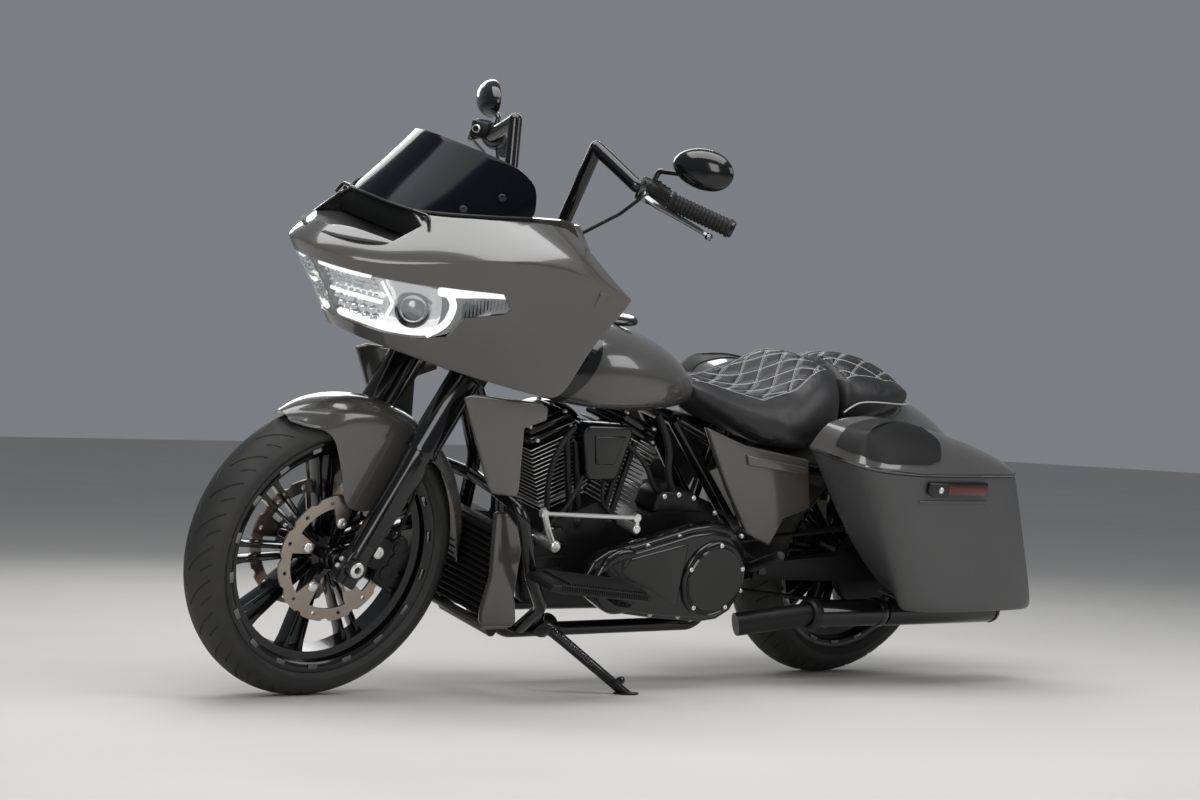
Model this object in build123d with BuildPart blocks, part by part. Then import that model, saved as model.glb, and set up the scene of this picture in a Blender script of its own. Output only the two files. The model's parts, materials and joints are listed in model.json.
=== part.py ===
from build123d import *
from math import cos, radians, sin, tan
import os

# Touring cruiser motorcycle, parked on its side stand.
# Every piece is drawn on the upright bike: +X forward, +Y left, +Z up, origin on the
# ground under the rear axle. The finished pieces are then leaned onto the stand.
# Lengths are millimetres and angles are degrees.

# ---- Stance ----
LEAN = 14
WHEELBASE = 1625
RAKE = 26
CLEARANCE = 0.3

# ---- Wheels ----
FRONT_RADIUS, FRONT_WIDTH, FRONT_BEAD = 345, 130, 262
REAR_RADIUS, REAR_WIDTH, REAR_BEAD = 328, 180, 229
FRONT_CROWN, REAR_CROWN = 31, 44
FLANGE_HEIGHT = 16
SPOKE_PAIRS = 9
DISC_RADIUS, DISC_WIDTH, DISC_OFFSET, DISC_BOLT_CIRCLE = 150, 5, 62, 83
AXLE_RADIUS, AXLE_BORE = 12.5, 8.5
PULLEY_RADIUS, PULLEY_WIDTH, PULLEY_OFFSET = 105, 26, 118

# ---- Fork ----
LEG_SPACING, LEG_RADIUS, LEG_SETBACK = 118, 29, 9
COVER_RADIUS = 37
LOWER_CLAMP, UPPER_CLAMP = 500, 712
STEM_RADIUS, HEAD_RADIUS = 18, 34

# ---- Frame ----
RAIL_RADIUS, RAIL_SPACING, REAR_RAIL_SPACING, RAIL_HEIGHT = 17, 100, 86, 172
SEAT_RAIL_RADIUS = 14
SWING_PIVOT, PIVOT_RADIUS = (405, 330), 12
ARM_INNER, ARM_OUTER = 138, 164
SHOCK_TOP, SHOCK_BOTTOM, SHOCK_STUD, SHOCK_Y, SHOCK_RADIUS = (172, 583), (40, 362), 8, 185, 18

# ---- Stand ----
STAND_PIVOT = (1052, 150, 201)
STAND_FOOT = (871, 278, 67)
STAND_RADIUS = 12
STAND_AXIS = Vector(0, 1, 1).normalized()

# ---- Engine ----
CRANK_X, CRANK_Z = 940, 335
CYLINDER_ANGLE = 22.5
CYLINDER_BASE, HEAD_TOP, ROCKER_TOP = 150, 335, 380
FIN_COUNT, FIN_THICKNESS = 14, 3.2
CYLINDER_RADIUS, FIN_SIZE, VEE_GAP = 56, 150, 2
CASE_HALF_WIDTH, CASE_REAR_HALF, CASE_STEP_X = 120, 100, 665
PRIMARY_INNER, PRIMARY_OUTER = 175, 228
DERBY_X, DERBY_Z, DERBY_RADIUS = 624, 336, 92

# ---- Bodywork ----
SKIN = 4
TUNNEL_HALF = 33
COVER_INNER, COVER_OUTER = 165, 195
CHIN_INNER, CHIN_OUTER = 160, 190
BAG_INNER, BAG_OUTER, BAG_WALL = 205, 418, 4
FENDER_HALF_WIDTH, FENDER_SKIN = 78, 3
REAR_FENDER_RADIUS, REAR_FENDER_HALF = 432, 118

FRONT_AXLE = (WHEELBASE, 0, FRONT_RADIUS)


def crown_radius(radius, width, drop):
    """Radius of a tyre's crown, from its half width at the shoulder and its drop."""
    half = 0.45 * width
    return (half ** 2 + drop ** 2) / (2 * drop)


# A leaning wheel rolls onto its crown, so the two axles sit level once it is parked.
FRONT_ROLL = crown_radius(FRONT_RADIUS, FRONT_WIDTH, FRONT_CROWN)
REAR_ROLL = crown_radius(REAR_RADIUS, REAR_WIDTH, REAR_CROWN)
LIFT = FRONT_ROLL * (1 - cos(radians(LEAN)))
REAR_AXLE = (0, 0, REAR_RADIUS + (REAR_ROLL - FRONT_ROLL) * (1 / cos(radians(LEAN)) - 1))

pieces = []


def keep(piece, label):
    """Name a finished piece and put it with those that are written at the end."""
    piece.label = label
    pieces.append(piece)


def side(y):
    """Side-view plane at width y: local X forward, local Y up, facing the right."""
    return Plane(origin=(0, y, 0), x_dir=(1, 0, 0), z_dir=(0, -1, 0))


def across(x):
    """Cross-section plane at length x: local X to the left, local Y up."""
    return Plane(origin=(x, 0, 0), x_dir=(0, 1, 0), z_dir=(1, 0, 0))


def level(z):
    """Plan-view plane at height z: local X forward, local Y to the left."""
    return Plane.XY.offset(z)


def rod(start, end, radius):
    """Round bar from start to end, added to the piece in hand."""
    run = Vector(*end) - Vector(*start)
    with BuildSketch(Plane(origin=start, z_dir=run)) as end_face:
        Circle(radius)
    extrude(end_face.sketch, amount=run.length)


def bent_bar(points, bends, radius, mode=Mode.ADD):
    """Round bar along straight runs joined by arcs, added to the piece in hand."""
    with BuildLine() as route:
        FilletPolyline(*points, radius=bends)
    with BuildSketch(Plane(origin=route.line @ 0, z_dir=route.line % 0)) as end_face:
        Circle(radius)
    sweep(end_face.sketch, path=route.line, mode=mode)


def slab(outline, near, far):
    """Side-view outline filled from width near to width far, in the piece in hand."""
    with BuildSketch(side(near)) as panel:
        Polygon(*outline, align=None)
    extrude(panel.sketch, amount=near - far)


FORK = Plane(origin=FRONT_AXLE, x_dir=(cos(radians(RAKE)), 0, sin(radians(RAKE))),
             z_dir=(-sin(radians(RAKE)), 0, cos(radians(RAKE))))


def on_fork(ahead, left, up):
    """A point given along the steering axis, from the front axle."""
    return tuple(FORK.from_local_coords((ahead, left, up)))


def axle_line(centre):
    return Axis(centre, (0, 1, 0))


def hub_plane(centre):
    """Section plane through an axle: local X to the left, local Y outwards."""
    return Plane(origin=centre, x_dir=(0, 1, 0), z_dir=(1, 0, 0))


# ======== Wheels ========

def hub_side(centre, y):
    """Side-view plane at width y whose origin is on the axle's line."""
    return Plane(origin=(centre[0], y, centre[2]), x_dir=(1, 0, 0), z_dir=(0, -1, 0))


def draw_tyre(centre, radius, width, bead, drop):
    """Revolved tyre: flat bead seats, bulged walls and a round crown."""
    half, heel = width / 2, 0.36 * width
    shoulder = (0.45 * width, radius - drop)
    wall = (half, (radius - drop + bead + FLANGE_HEIGHT) / 2 + 8)
    flange = (heel, bead + FLANGE_HEIGHT + 2)
    with BuildSketch(hub_plane(centre)) as section:
        with BuildLine():
            ThreePointArc((-shoulder[0], shoulder[1]), (0, radius), shoulder)
            ThreePointArc(shoulder, wall, flange)
            Polyline(flange, (heel, bead + CLEARANCE), (-heel, bead + CLEARANCE), (-flange[0], flange[1]))
            ThreePointArc((-flange[0], flange[1]), (-wall[0], wall[1]), (-shoulder[0], shoulder[1]))
        make_face()
    revolve(section.sketch, axis=axle_line(centre))


def draw_rim(centre, width, bead, hub_radius, hub_half):
    """Barrel with two flanges, a round hub and pairs of twin spokes."""
    heel = 0.36 * width + CLEARANCE
    flange = heel + 5
    well = bead - 18
    barrel = [(-flange, bead + FLANGE_HEIGHT), (-heel, bead + FLANGE_HEIGHT), (-heel, bead), (-0.6 * heel, bead),
              (-0.5 * heel, well), (0.5 * heel, well), (0.6 * heel, bead), (heel, bead), (heel, bead + FLANGE_HEIGHT),
              (flange, bead + FLANGE_HEIGHT), (flange, bead - 4), (0.66 * heel, bead - 6), (0.56 * heel, well - 7),
              (-0.56 * heel, well - 7), (-0.66 * heel, bead - 6), (-flange, bead - 4)]
    with BuildSketch(hub_plane(centre)) as section:
        Polygon(*barrel, align=None)
        Polygon((-hub_half, AXLE_RADIUS + 0.05), (hub_half, AXLE_RADIUS + 0.05), (hub_half, hub_radius - 8),
                (0.6 * hub_half, hub_radius), (-0.6 * hub_half, hub_radius), (-hub_half, hub_radius - 8), align=None)
    revolve(section.sketch, axis=axle_line(centre))
    inner, outer = hub_radius - 6, well - 4
    with BuildSketch(Plane(origin=centre, x_dir=(1, 0, 0), z_dir=(0, -1, 0))) as spokes:
        with PolarLocations(0, SPOKE_PAIRS):
            for turn in (-1, 1):
                Polygon((inner, turn * 3), (outer, turn * 13), (outer, turn * 30), (inner, turn * 15), align=None)
    extrude(spokes.sketch, amount=0.42 * heel, both=True)


def draw_disc(centre, middle, radius):
    """Wave brake disc: scalloped band carried on five lugs."""
    band = 30
    waves = 12
    with BuildSketch(Plane(origin=(centre[0], middle + DISC_WIDTH / 2, centre[2]), x_dir=(1, 0, 0), z_dir=(0, -1, 0))) as disc:
        Circle(radius)
        with PolarLocations(radius + 9, waves):
            Circle(15, mode=Mode.SUBTRACT)
        Circle(radius - band, mode=Mode.SUBTRACT)
        with PolarLocations(0, 5, start_angle=90):
            Polygon((DISC_BOLT_CIRCLE - 14, -11), (radius - band + 3, -26), (radius - band + 3, 26),
                    (DISC_BOLT_CIRCLE - 14, 11), align=None)
        with PolarLocations(radius - band / 2 - 1, waves, start_angle=15):
            Circle(5, mode=Mode.SUBTRACT)
    extrude(disc.sketch, amount=DISC_WIDTH)


with BuildPart() as front_tyre:
    draw_tyre(FRONT_AXLE, FRONT_RADIUS, FRONT_WIDTH, FRONT_BEAD, FRONT_CROWN)
keep(front_tyre.part, "front_tyre")

with BuildPart() as front_rim:
    draw_rim(FRONT_AXLE, FRONT_WIDTH, FRONT_BEAD, 46, 72)
    with BuildSketch(Plane(origin=FRONT_AXLE, x_dir=(1, 0, 0), z_dir=(0, -1, 0))):
        with PolarLocations(0, 5, start_angle=90):
            Polygon((30, -16), (DISC_BOLT_CIRCLE + 8, -9), (DISC_BOLT_CIRCLE + 8, 9), (30, 16), align=None)
    extrude(amount=DISC_OFFSET - DISC_WIDTH / 2, both=True)
keep(front_rim.part, "front_rim")

with BuildPart() as front_discs:
    for middle in (DISC_OFFSET, -DISC_OFFSET):
        draw_disc(FRONT_AXLE, middle, DISC_RADIUS)
keep(front_discs.part, "front_discs")

with BuildPart() as front_axle:
    axle_half = LEG_SPACING + LEG_RADIUS + 6
    with BuildSketch(Plane(origin=(FRONT_AXLE[0], -axle_half, FRONT_AXLE[2]), z_dir=(0, 1, 0))):
        Circle(AXLE_RADIUS)
        Circle(AXLE_BORE, mode=Mode.SUBTRACT)
    extrude(amount=2 * axle_half)
keep(front_axle.part, "front_axle")

with BuildPart() as rear_tyre:
    draw_tyre(REAR_AXLE, REAR_RADIUS, REAR_WIDTH, REAR_BEAD, REAR_CROWN)
keep(rear_tyre.part, "rear_tyre")

with BuildPart() as rear_rim:
    draw_rim(REAR_AXLE, REAR_WIDTH, REAR_BEAD, 52, 100)
keep(rear_rim.part, "rear_rim")

with BuildPart() as rear_pulley:
    with BuildSketch(Plane(origin=(REAR_AXLE[0], PULLEY_OFFSET + PULLEY_WIDTH / 2, REAR_AXLE[2]), z_dir=(0, -1, 0))):
        Circle(PULLEY_RADIUS)
        Circle(AXLE_RADIUS + 0.05, mode=Mode.SUBTRACT)
    extrude(amount=PULLEY_WIDTH)
    with BuildSketch(Plane(origin=(REAR_AXLE[0], PULLEY_OFFSET - PULLEY_WIDTH / 2, REAR_AXLE[2]), z_dir=(0, -1, 0))):
        Circle(50)
        Circle(AXLE_RADIUS + 0.05, mode=Mode.SUBTRACT)
    extrude(amount=PULLEY_OFFSET - PULLEY_WIDTH / 2 - 100)
keep(rear_pulley.part, "rear_pulley")

with BuildPart() as rear_disc:
    draw_disc(REAR_AXLE, -102.5, DISC_RADIUS)
    with BuildSketch(Plane(origin=(REAR_AXLE[0], -105, REAR_AXLE[2]), z_dir=(0, 1, 0))):
        Circle(DISC_BOLT_CIRCLE - 5)
        Circle(AXLE_RADIUS + 0.05, mode=Mode.SUBTRACT)
    extrude(amount=DISC_WIDTH)
keep(rear_disc.part, "rear_disc")

# ======== Fork and front end ========

with BuildPart() as fork_legs:
    for y in (LEG_SPACING, -LEG_SPACING):
        rod(on_fork(-LEG_SETBACK, y, -42), on_fork(-LEG_SETBACK, y, 330), LEG_RADIUS)
        rod(on_fork(-LEG_SETBACK, y, 300), on_fork(-LEG_SETBACK, y, 640), COVER_RADIUS)
        rod(on_fork(-LEG_SETBACK, y, 640), on_fork(-LEG_SETBACK, y, UPPER_CLAMP + 30), 24.5)
    with BuildSketch(side(LEG_SPACING + LEG_RADIUS + 8)):
        with Locations((FRONT_AXLE[0], FRONT_AXLE[2])):
            Circle(24)
    extrude(amount=2 * (LEG_SPACING + LEG_RADIUS + 8))
    with BuildSketch(side(LEG_SPACING - 26)):
        with Locations((FRONT_AXLE[0], FRONT_AXLE[2])):
            Circle(40)
    extrude(amount=2 * (LEG_SPACING - 26), mode=Mode.SUBTRACT)
    with BuildSketch(side(LEG_SPACING + LEG_RADIUS + 8)):
        with Locations((FRONT_AXLE[0], FRONT_AXLE[2])):
            Circle(AXLE_RADIUS)
    extrude(amount=2 * (LEG_SPACING + LEG_RADIUS + 8), mode=Mode.SUBTRACT)
keep(fork_legs.part, "fork_legs")

CLAMPS = [(LOWER_CLAMP, 36, COVER_RADIUS), (UPPER_CLAMP, 26, 24.5)]

with BuildPart() as triple_clamps:
    for height, thickness, grip in CLAMPS:
        with BuildSketch(FORK.offset(height)):
            with Locations((9, 0)):
                Rectangle(78, 2 * LEG_SPACING - 20)
            with Locations((-LEG_SETBACK, LEG_SPACING), (-LEG_SETBACK, -LEG_SPACING)):
                Circle(grip + 12)
                Circle(grip, mode=Mode.SUBTRACT)
        extrude(amount=thickness)
    with BuildSketch(FORK.offset(LOWER_CLAMP)):
        Circle(STEM_RADIUS)
    extrude(amount=UPPER_CLAMP - LOWER_CLAMP)
keep(triple_clamps.part, "triple_clamps")

FENDER_RADIUS = FRONT_RADIUS + 24
with BuildPart() as front_fender:
    half, skin = FENDER_HALF_WIDTH, FENDER_SKIN
    with BuildSketch(hub_plane(FRONT_AXLE)) as fender_section:
        with BuildLine():
            Polyline((-half, 0.83 * FENDER_RADIUS), (-half, 0.93 * FENDER_RADIUS))
            ThreePointArc((-half, 0.93 * FENDER_RADIUS), (0, FENDER_RADIUS), (half, 0.93 * FENDER_RADIUS))
            Polyline((half, 0.93 * FENDER_RADIUS), (half, 0.83 * FENDER_RADIUS), (half - skin, 0.83 * FENDER_RADIUS),
                     (half - skin, 0.93 * FENDER_RADIUS))
            ThreePointArc((half - skin, 0.93 * FENDER_RADIUS), (0, FENDER_RADIUS - skin),
                          (skin - half, 0.93 * FENDER_RADIUS))
            Polyline((skin - half, 0.93 * FENDER_RADIUS), (skin - half, 0.83 * FENDER_RADIUS),
                     (-half, 0.83 * FENDER_RADIUS))
        make_face()
    revolve(axis=axle_line(FRONT_AXLE))
    with BuildSketch(hub_side(FRONT_AXLE, 200)):
        Polygon((575, 215), (169, 337), (-25, 215), (0, 0), (-380, -15), (-625, -15), (-625, 555), (575, 555),
                align=None)
    extrude(amount=400, mode=Mode.INTERSECT)
    with BuildSketch(hub_side(FRONT_AXLE, half)):
        Polygon((0.18 * FENDER_RADIUS, 0.87 * FENDER_RADIUS), (43, 245), (27, 155), (15, 125), (-65, 107),
                (-97, 155), (-0.23 * FENDER_RADIUS, 0.87 * FENDER_RADIUS), align=None)
    extrude(amount=skin)
    rod(on_fork(-LEG_SETBACK, FENDER_HALF_WIDTH - 1, 170), on_fork(-LEG_SETBACK, LEG_SPACING - LEG_RADIUS, 170), 9)
    mirror(about=Plane.XZ)
keep(front_fender.part, "front_fender")

with BuildPart() as front_calipers:
    for y in (DISC_OFFSET, -DISC_OFFSET):
        outward = 1 if y > 0 else -1
        with BuildSketch(Plane(origin=on_fork(0, y + outward * 26, 0), x_dir=FORK.x_dir, z_dir=(0, -outward, 0))):
            with BuildLine():
                Polyline((-150, 0), (-98, 0), (-98, outward * 110), (-118, outward * 120),
                         (-150, outward * 90), (-150, 0))
            make_face()
        extrude(amount=46)
        for up in (40, 85):
            rod(on_fork(-36.3, outward * 107.2, up), on_fork(-105, outward * 80, up), 8)
    with BuildSketch(Plane(origin=(FRONT_AXLE[0], -DISC_OFFSET - 8, FRONT_AXLE[2]), z_dir=(0, 1, 0))):
        Circle(DISC_RADIUS + 6)
    extrude(amount=16, mode=Mode.SUBTRACT)
    with BuildSketch(Plane(origin=(FRONT_AXLE[0], DISC_OFFSET - 8, FRONT_AXLE[2]), z_dir=(0, 1, 0))):
        Circle(DISC_RADIUS + 6)
    extrude(amount=16, mode=Mode.SUBTRACT)
keep(front_calipers.part, "front_calipers")

BAR_RADIUS, BAR_END_BORE, BAR_END_DEPTH = 16, 9, 60
BAR_PEAK = (1179, 157, 1347)
BAR_BEND = (1146, 278, 1289)
BAR_END = (984, 430, 1236)
BAR_FOOT = on_fork(0, 62, UPPER_CLAMP + 48)
BAR_BASE = (1203, 78, 1045)

with BuildPart() as handlebar:
    with BuildSketch(FORK.offset(UPPER_CLAMP + 26)):
        Rectangle(60, 2 * 86)
    extrude(amount=28)
    for flip in (1, -1):
        stations = [BAR_FOOT, BAR_BASE, BAR_PEAK, BAR_BEND, BAR_END]
        stations = [(x, flip * y, z) for x, y, z in stations]
        for start, end in zip(stations, stations[1:]):
            rod(start, end, BAR_RADIUS)
        for joint in stations[1:-1]:
            with Locations(joint):
                Sphere(BAR_RADIUS)
        bend, stop = Vector(*stations[-2]), Vector(*stations[-1])
        with BuildSketch(Plane(origin=stop, z_dir=bend - stop)):
            Circle(BAR_END_BORE)
        extrude(amount=BAR_END_DEPTH, mode=Mode.SUBTRACT)
keep(handlebar.part, "handlebar")

bar_start, bar_stop = Vector(*BAR_BEND), Vector(*BAR_END)
along_bar = (bar_stop - bar_start).normalized()
GRIP_START, GRIP_RADIUS = 84, 19
with BuildPart() as grips:
    with BuildSketch(Plane(origin=bar_start + along_bar * GRIP_START, z_dir=along_bar)):
        Circle(GRIP_RADIUS)
        Circle(BAR_RADIUS + CLEARANCE, mode=Mode.SUBTRACT)
    extrude(amount=(bar_stop - bar_start).length - GRIP_START)
    mirror(about=Plane.XZ)
keep(grips.part, "grips")

LEVER_TIP = (1048, 400, 1197)
PERCH_START, PERCH_LENGTH, PERCH_RADIUS = 12, 44, 25
with BuildPart() as hand_controls:
    perch = bar_start + along_bar * (PERCH_START + PERCH_LENGTH / 2)
    knuckle = perch + Vector(44, 4, -22)
    rod(perch, knuckle, 13)
    rod(knuckle, LEVER_TIP, 6)
    with Locations(LEVER_TIP):
        Sphere(8)
    with Locations(knuckle):
        Sphere(13)
    with BuildSketch(Plane(origin=bar_start + along_bar * PERCH_START, z_dir=along_bar)):
        Circle(PERCH_RADIUS)
    extrude(amount=PERCH_LENGTH)
    with BuildSketch(Plane(origin=bar_start + along_bar * (PERCH_START - 30), z_dir=along_bar)):
        Circle(BAR_RADIUS + CLEARANCE)
    extrude(amount=PERCH_LENGTH + 60, mode=Mode.SUBTRACT)
    mirror(about=Plane.XZ)
keep(hand_controls.part, "hand_controls")

MIRROR_CENTRE = (1082, 410, 1358)
MIRROR_TURN, MIRROR_DEPTH = 22, 44
with BuildPart() as mirrors:
    facing = Vector(-cos(radians(MIRROR_TURN)), -sin(radians(MIRROR_TURN)), 0)
    across_glass = Vector(-facing.Y, facing.X, 0)
    back, front = (Vector(*MIRROR_CENTRE) + facing * shift for shift in (-MIRROR_DEPTH / 2, MIRROR_DEPTH / 2))
    with BuildSketch(Plane(origin=back, x_dir=across_glass, z_dir=facing)):
        Ellipse(60, 32)
    with BuildSketch(Plane(origin=front, x_dir=across_glass, z_dir=facing)):
        Ellipse(80, 49)
    loft()
    stem = (1113.5, 309, 1329.6)
    rod(tuple(back + facing * 6 + across_glass * 42 - Vector(0, 0, 14)), stem, 7)
    with Locations(stem):
        Sphere(7)
    rod(stem, (1117.7, 305, 1305.6), 7)
    mirror(about=Plane.XZ)
keep(mirrors.part, "mirrors")

LINE_RADIUS, LINE_BEND = 4, 45
CONTROL_LINE = [(1125.3, 276.6, 1258.6), (1140, 236, 1214), (1200, 150, 1130),
                on_fork(18, 80, UPPER_CLAMP + 110), on_fork(18, 80, UPPER_CLAMP + 54.3)]
with BuildPart() as control_lines:
    bent_bar(CONTROL_LINE, [30, 40, 25], LINE_RADIUS)
    mirror(about=Plane.XZ)
keep(control_lines.part, "control_lines")

BRAKE_LINE = [on_fork(-34, 70, LOWER_CLAMP - 0.3), on_fork(-44, 92, 400), on_fork(-70, 97, 240), on_fork(-112, 78, 119)]
with BuildPart() as brake_lines:
    bent_bar(BRAKE_LINE, [LINE_BEND, 90], LINE_RADIUS)
    mirror(about=Plane.XZ)
keep(brake_lines.part, "brake_lines")

# ======== Frame ========

HEAD_LOW, HEAD_HIGH = LOWER_CLAMP + 38, UPPER_CLAMP - 2
with BuildPart() as frame:
    with BuildSketch(FORK.offset(HEAD_LOW)):
        Circle(HEAD_RADIUS)
    extrude(amount=HEAD_HIGH - HEAD_LOW)
    head = on_fork(0, 0, (HEAD_LOW + HEAD_HIGH) / 2)
    rod(on_fork(-20, 0, HEAD_LOW + 32), (686, 0, 751), 28)
    for y in (1, -1):
        bent_bar([on_fork(-22, y * 22, HEAD_LOW + 40), (1196, y * 50, 560), (1168, y * RAIL_SPACING, RAIL_HEIGHT),
                  (510, y * REAR_RAIL_SPACING, RAIL_HEIGHT), (455, y * 82, 420), (700, y * 60, 690)],
                 [120, 60, 60, 60], RAIL_RADIUS)
        rod((700, y * 60, 690), (520, y * 90, 618), SEAT_RAIL_RADIUS)
        rod((520, y * 90, 618), (300, y * 137, 592), SEAT_RAIL_RADIUS)
        rod((300, y * 137, 592), (-120, y * 150, 562), SEAT_RAIL_RADIUS)
        rod((400, y * 114, 600), (460, y * 84, 400), SEAT_RAIL_RADIUS)
        rod((SHOCK_TOP[0], y * (REAR_FENDER_HALF + CLEARANCE), SHOCK_TOP[1]), (SHOCK_TOP[0], y * (SHOCK_Y + 14), SHOCK_TOP[1]), SHOCK_STUD)
        near, far = sorted((y * 84, y * (ARM_INNER - 1)))
        slab([(475, 290), (475, 372), (405, 352), (384, 330), (405, 308)], near, far)
        rod((SWING_PIVOT[0], y * 116, SWING_PIVOT[1]), (SWING_PIVOT[0], y * (ARM_OUTER + 4), SWING_PIVOT[1]), PIVOT_RADIUS)
    rod((700, -62, 690), (700, 62, 690), 17)
    rod((700, 0, 690), (700, 0, 750), 17)
    rod((1168, -RAIL_SPACING, RAIL_HEIGHT), (1168, RAIL_SPACING, RAIL_HEIGHT), 14)
    rod((540, -REAR_RAIL_SPACING, RAIL_HEIGHT), (540, REAR_RAIL_SPACING, RAIL_HEIGHT), 14)
    rod((400, -114, 603), (400, 114, 603), 12)
    for y in (1, -1):
        rod((-60, y * 146, 567), (-60, y * (BAG_INNER - CLEARANCE), 567), 8)
        rod((250, y * 139, 588), (250, y * (BAG_INNER - CLEARANCE), 588), 8)
        rod((400, y * 60, 603), (400, y * 60, 642.6), 10)
        rod((440, y * 107, 606), (440, y * (COVER_INNER - CLEARANCE), 606), 8)
        bent_bar([(1179, y * 80, 330), (1205, y * 115, 330), (1205, y * (CHIN_INNER - CLEARANCE), 330)], [10], 7)
        bent_bar([(1200, y * 10, 826), (1200, y * 225, 826), (1261.7, y * 225, 826)], [20], 8)
    rod((1080, -TUNNEL_HALF + CLEARANCE, 808), (1080, TUNNEL_HALF - CLEARANCE, 808), 9)
    lug = Vector(*STAND_PIVOT) - STAND_AXIS * 24.5
    rod((STAND_PIVOT[0], 98, RAIL_HEIGHT), tuple(lug), 7)
    with BuildSketch(Plane(origin=Vector(*STAND_PIVOT) - STAND_AXIS * 26.3, z_dir=STAND_AXIS)):
        Circle(20)
    extrude(amount=6)
    with BuildSketch(FORK.offset(HEAD_LOW - 1)):
        Circle(STEM_RADIUS + CLEARANCE)
    extrude(amount=HEAD_HIGH - HEAD_LOW + 2, mode=Mode.SUBTRACT)
keep(frame.part, "frame")

with BuildPart() as side_stand:
    rod(STAND_PIVOT, STAND_FOOT, STAND_RADIUS)
    with Locations(STAND_FOOT):
        Sphere(STAND_RADIUS)
    hinge = Vector(*STAND_PIVOT)
    with BuildSketch(Plane(origin=hinge - STAND_AXIS * 20, z_dir=STAND_AXIS)):
        Circle(22)
    extrude(amount=40)
    pad_up = (0, -sin(radians(LEAN)), cos(radians(LEAN)))
    pad_base = Vector(STAND_FOOT[0], STAND_FOOT[1], STAND_FOOT[2])
    drop = (pad_base.Z * cos(radians(LEAN)) - pad_base.Y * sin(radians(LEAN)) + LIFT)
    with BuildSketch(Plane(origin=pad_base - Vector(*pad_up) * drop, z_dir=pad_up)):
        Circle(30)
    extrude(amount=drop + 4)
keep(side_stand.part, "side_stand")

# ======== Engine ========

DECK_HALF = 62
deck_lean = radians(CYLINDER_ANGLE)
deck_x, deck_z = CYLINDER_BASE * sin(deck_lean), CRANK_Z + CYLINDER_BASE * cos(deck_lean)
crotch_z = deck_z + deck_x * tan(deck_lean)
deck_edge_x, deck_edge_z = deck_x + DECK_HALF * cos(deck_lean), deck_z - DECK_HALF * sin(deck_lean)
with BuildPart() as engine_case:
    slab([(CRANK_X + 110, 240), (CRANK_X + 135, 330), (CRANK_X + 128, 400),
          (CRANK_X + deck_edge_x, deck_edge_z), (CRANK_X, crotch_z), (CRANK_X - deck_edge_x, deck_edge_z),
          (770, 460), (720, 490), (560, 490), (500, 420), (500, 300), (540, 240)],
         -CASE_HALF_WIDTH, CASE_HALF_WIDTH)
    with Locations((CASE_STEP_X - 150, 0, 330)):
        Box(300, 300, 600, mode=Mode.SUBTRACT)
    slab([(CASE_STEP_X, 300), (CASE_STEP_X, 470), (560, 490), (500, 420), (500, 300), (540, 240), (CASE_STEP_X, 240)],
         -CASE_HALF_WIDTH, CASE_REAR_HALF)
    slab([(1040, 380), (1040, 432), (1122, 428), (1122, 396)], CASE_HALF_WIDTH - 30, CASE_HALF_WIDTH)
keep(engine_case.part, "engine_case")


def cylinder_plane(tilt, height):
    """Plane across a cylinder, at a height above the crank along its bore."""
    lean = radians(tilt)
    bore = (sin(lean), 0, cos(lean))
    origin = (CRANK_X + height * bore[0], 0, CRANK_Z + height * bore[2])
    return Plane(origin=origin, x_dir=(cos(lean), 0, -sin(lean)), z_dir=bore)


for name, tilt in (("front_cylinder", CYLINDER_ANGLE), ("rear_cylinder", -CYLINDER_ANGLE)):
    with BuildPart() as cylinder:
        with BuildSketch(cylinder_plane(tilt, CYLINDER_BASE)):
            Circle(CYLINDER_RADIUS)
        extrude(amount=HEAD_TOP - CYLINDER_BASE)
        pitch = (HEAD_TOP - CYLINDER_BASE - 20) / FIN_COUNT
        for fin in range(FIN_COUNT):
            with BuildSketch(cylinder_plane(tilt, CYLINDER_BASE + 18 + fin * pitch)):
                RectangleRounded(FIN_SIZE, FIN_SIZE, 30)
            extrude(amount=FIN_THICKNESS)
        forward = 1 if tilt > 0 else -1
        with Locations((CRANK_X + forward * (VEE_GAP - 100), 0, CRANK_Z + 300)):
            Box(200, 300, 600, mode=Mode.SUBTRACT)
    keep(cylinder.part, name)

with BuildPart() as rocker_covers:
    for tilt in (CYLINDER_ANGLE, -CYLINDER_ANGLE):
        with BuildSketch(cylinder_plane(tilt, HEAD_TOP)):
            RectangleRounded(FIN_SIZE - 4, FIN_SIZE - 4, 24)
        with BuildSketch(cylinder_plane(tilt, ROCKER_TOP)):
            RectangleRounded(FIN_SIZE - 30, FIN_SIZE - 30, 24)
        loft()
keep(rocker_covers.part, "rocker_covers")

with BuildPart() as coil_cover:
    slab([(CRANK_X - 40, 548), (CRANK_X + 50, 548), (CRANK_X + 82, 684), (CRANK_X - 70, 684)], FIN_SIZE / 2, 122)
keep(coil_cover.part, "coil_cover")

with BuildPart() as primary_cover:
    with BuildSketch(side(PRIMARY_OUTER)):
        with BuildLine():
            Polyline((DERBY_X, 218), (930, 255))
            ThreePointArc((930, 255), (1010, 335), (950, 402))
            Line((950, 402), (700, 448))
            ThreePointArc((700, 448), (508, 372), (DERBY_X, 218))
        make_face()
    extrude(amount=PRIMARY_OUTER - PRIMARY_INNER)
    with BuildSketch(side(PRIMARY_INNER)):
        Polygon((CASE_STEP_X, 262), (960, 262), (960, 395), (700, 430), (CASE_STEP_X, 430), align=None)
    extrude(amount=PRIMARY_INNER - CASE_HALF_WIDTH)
keep(primary_cover.part, "primary_cover")

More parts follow.
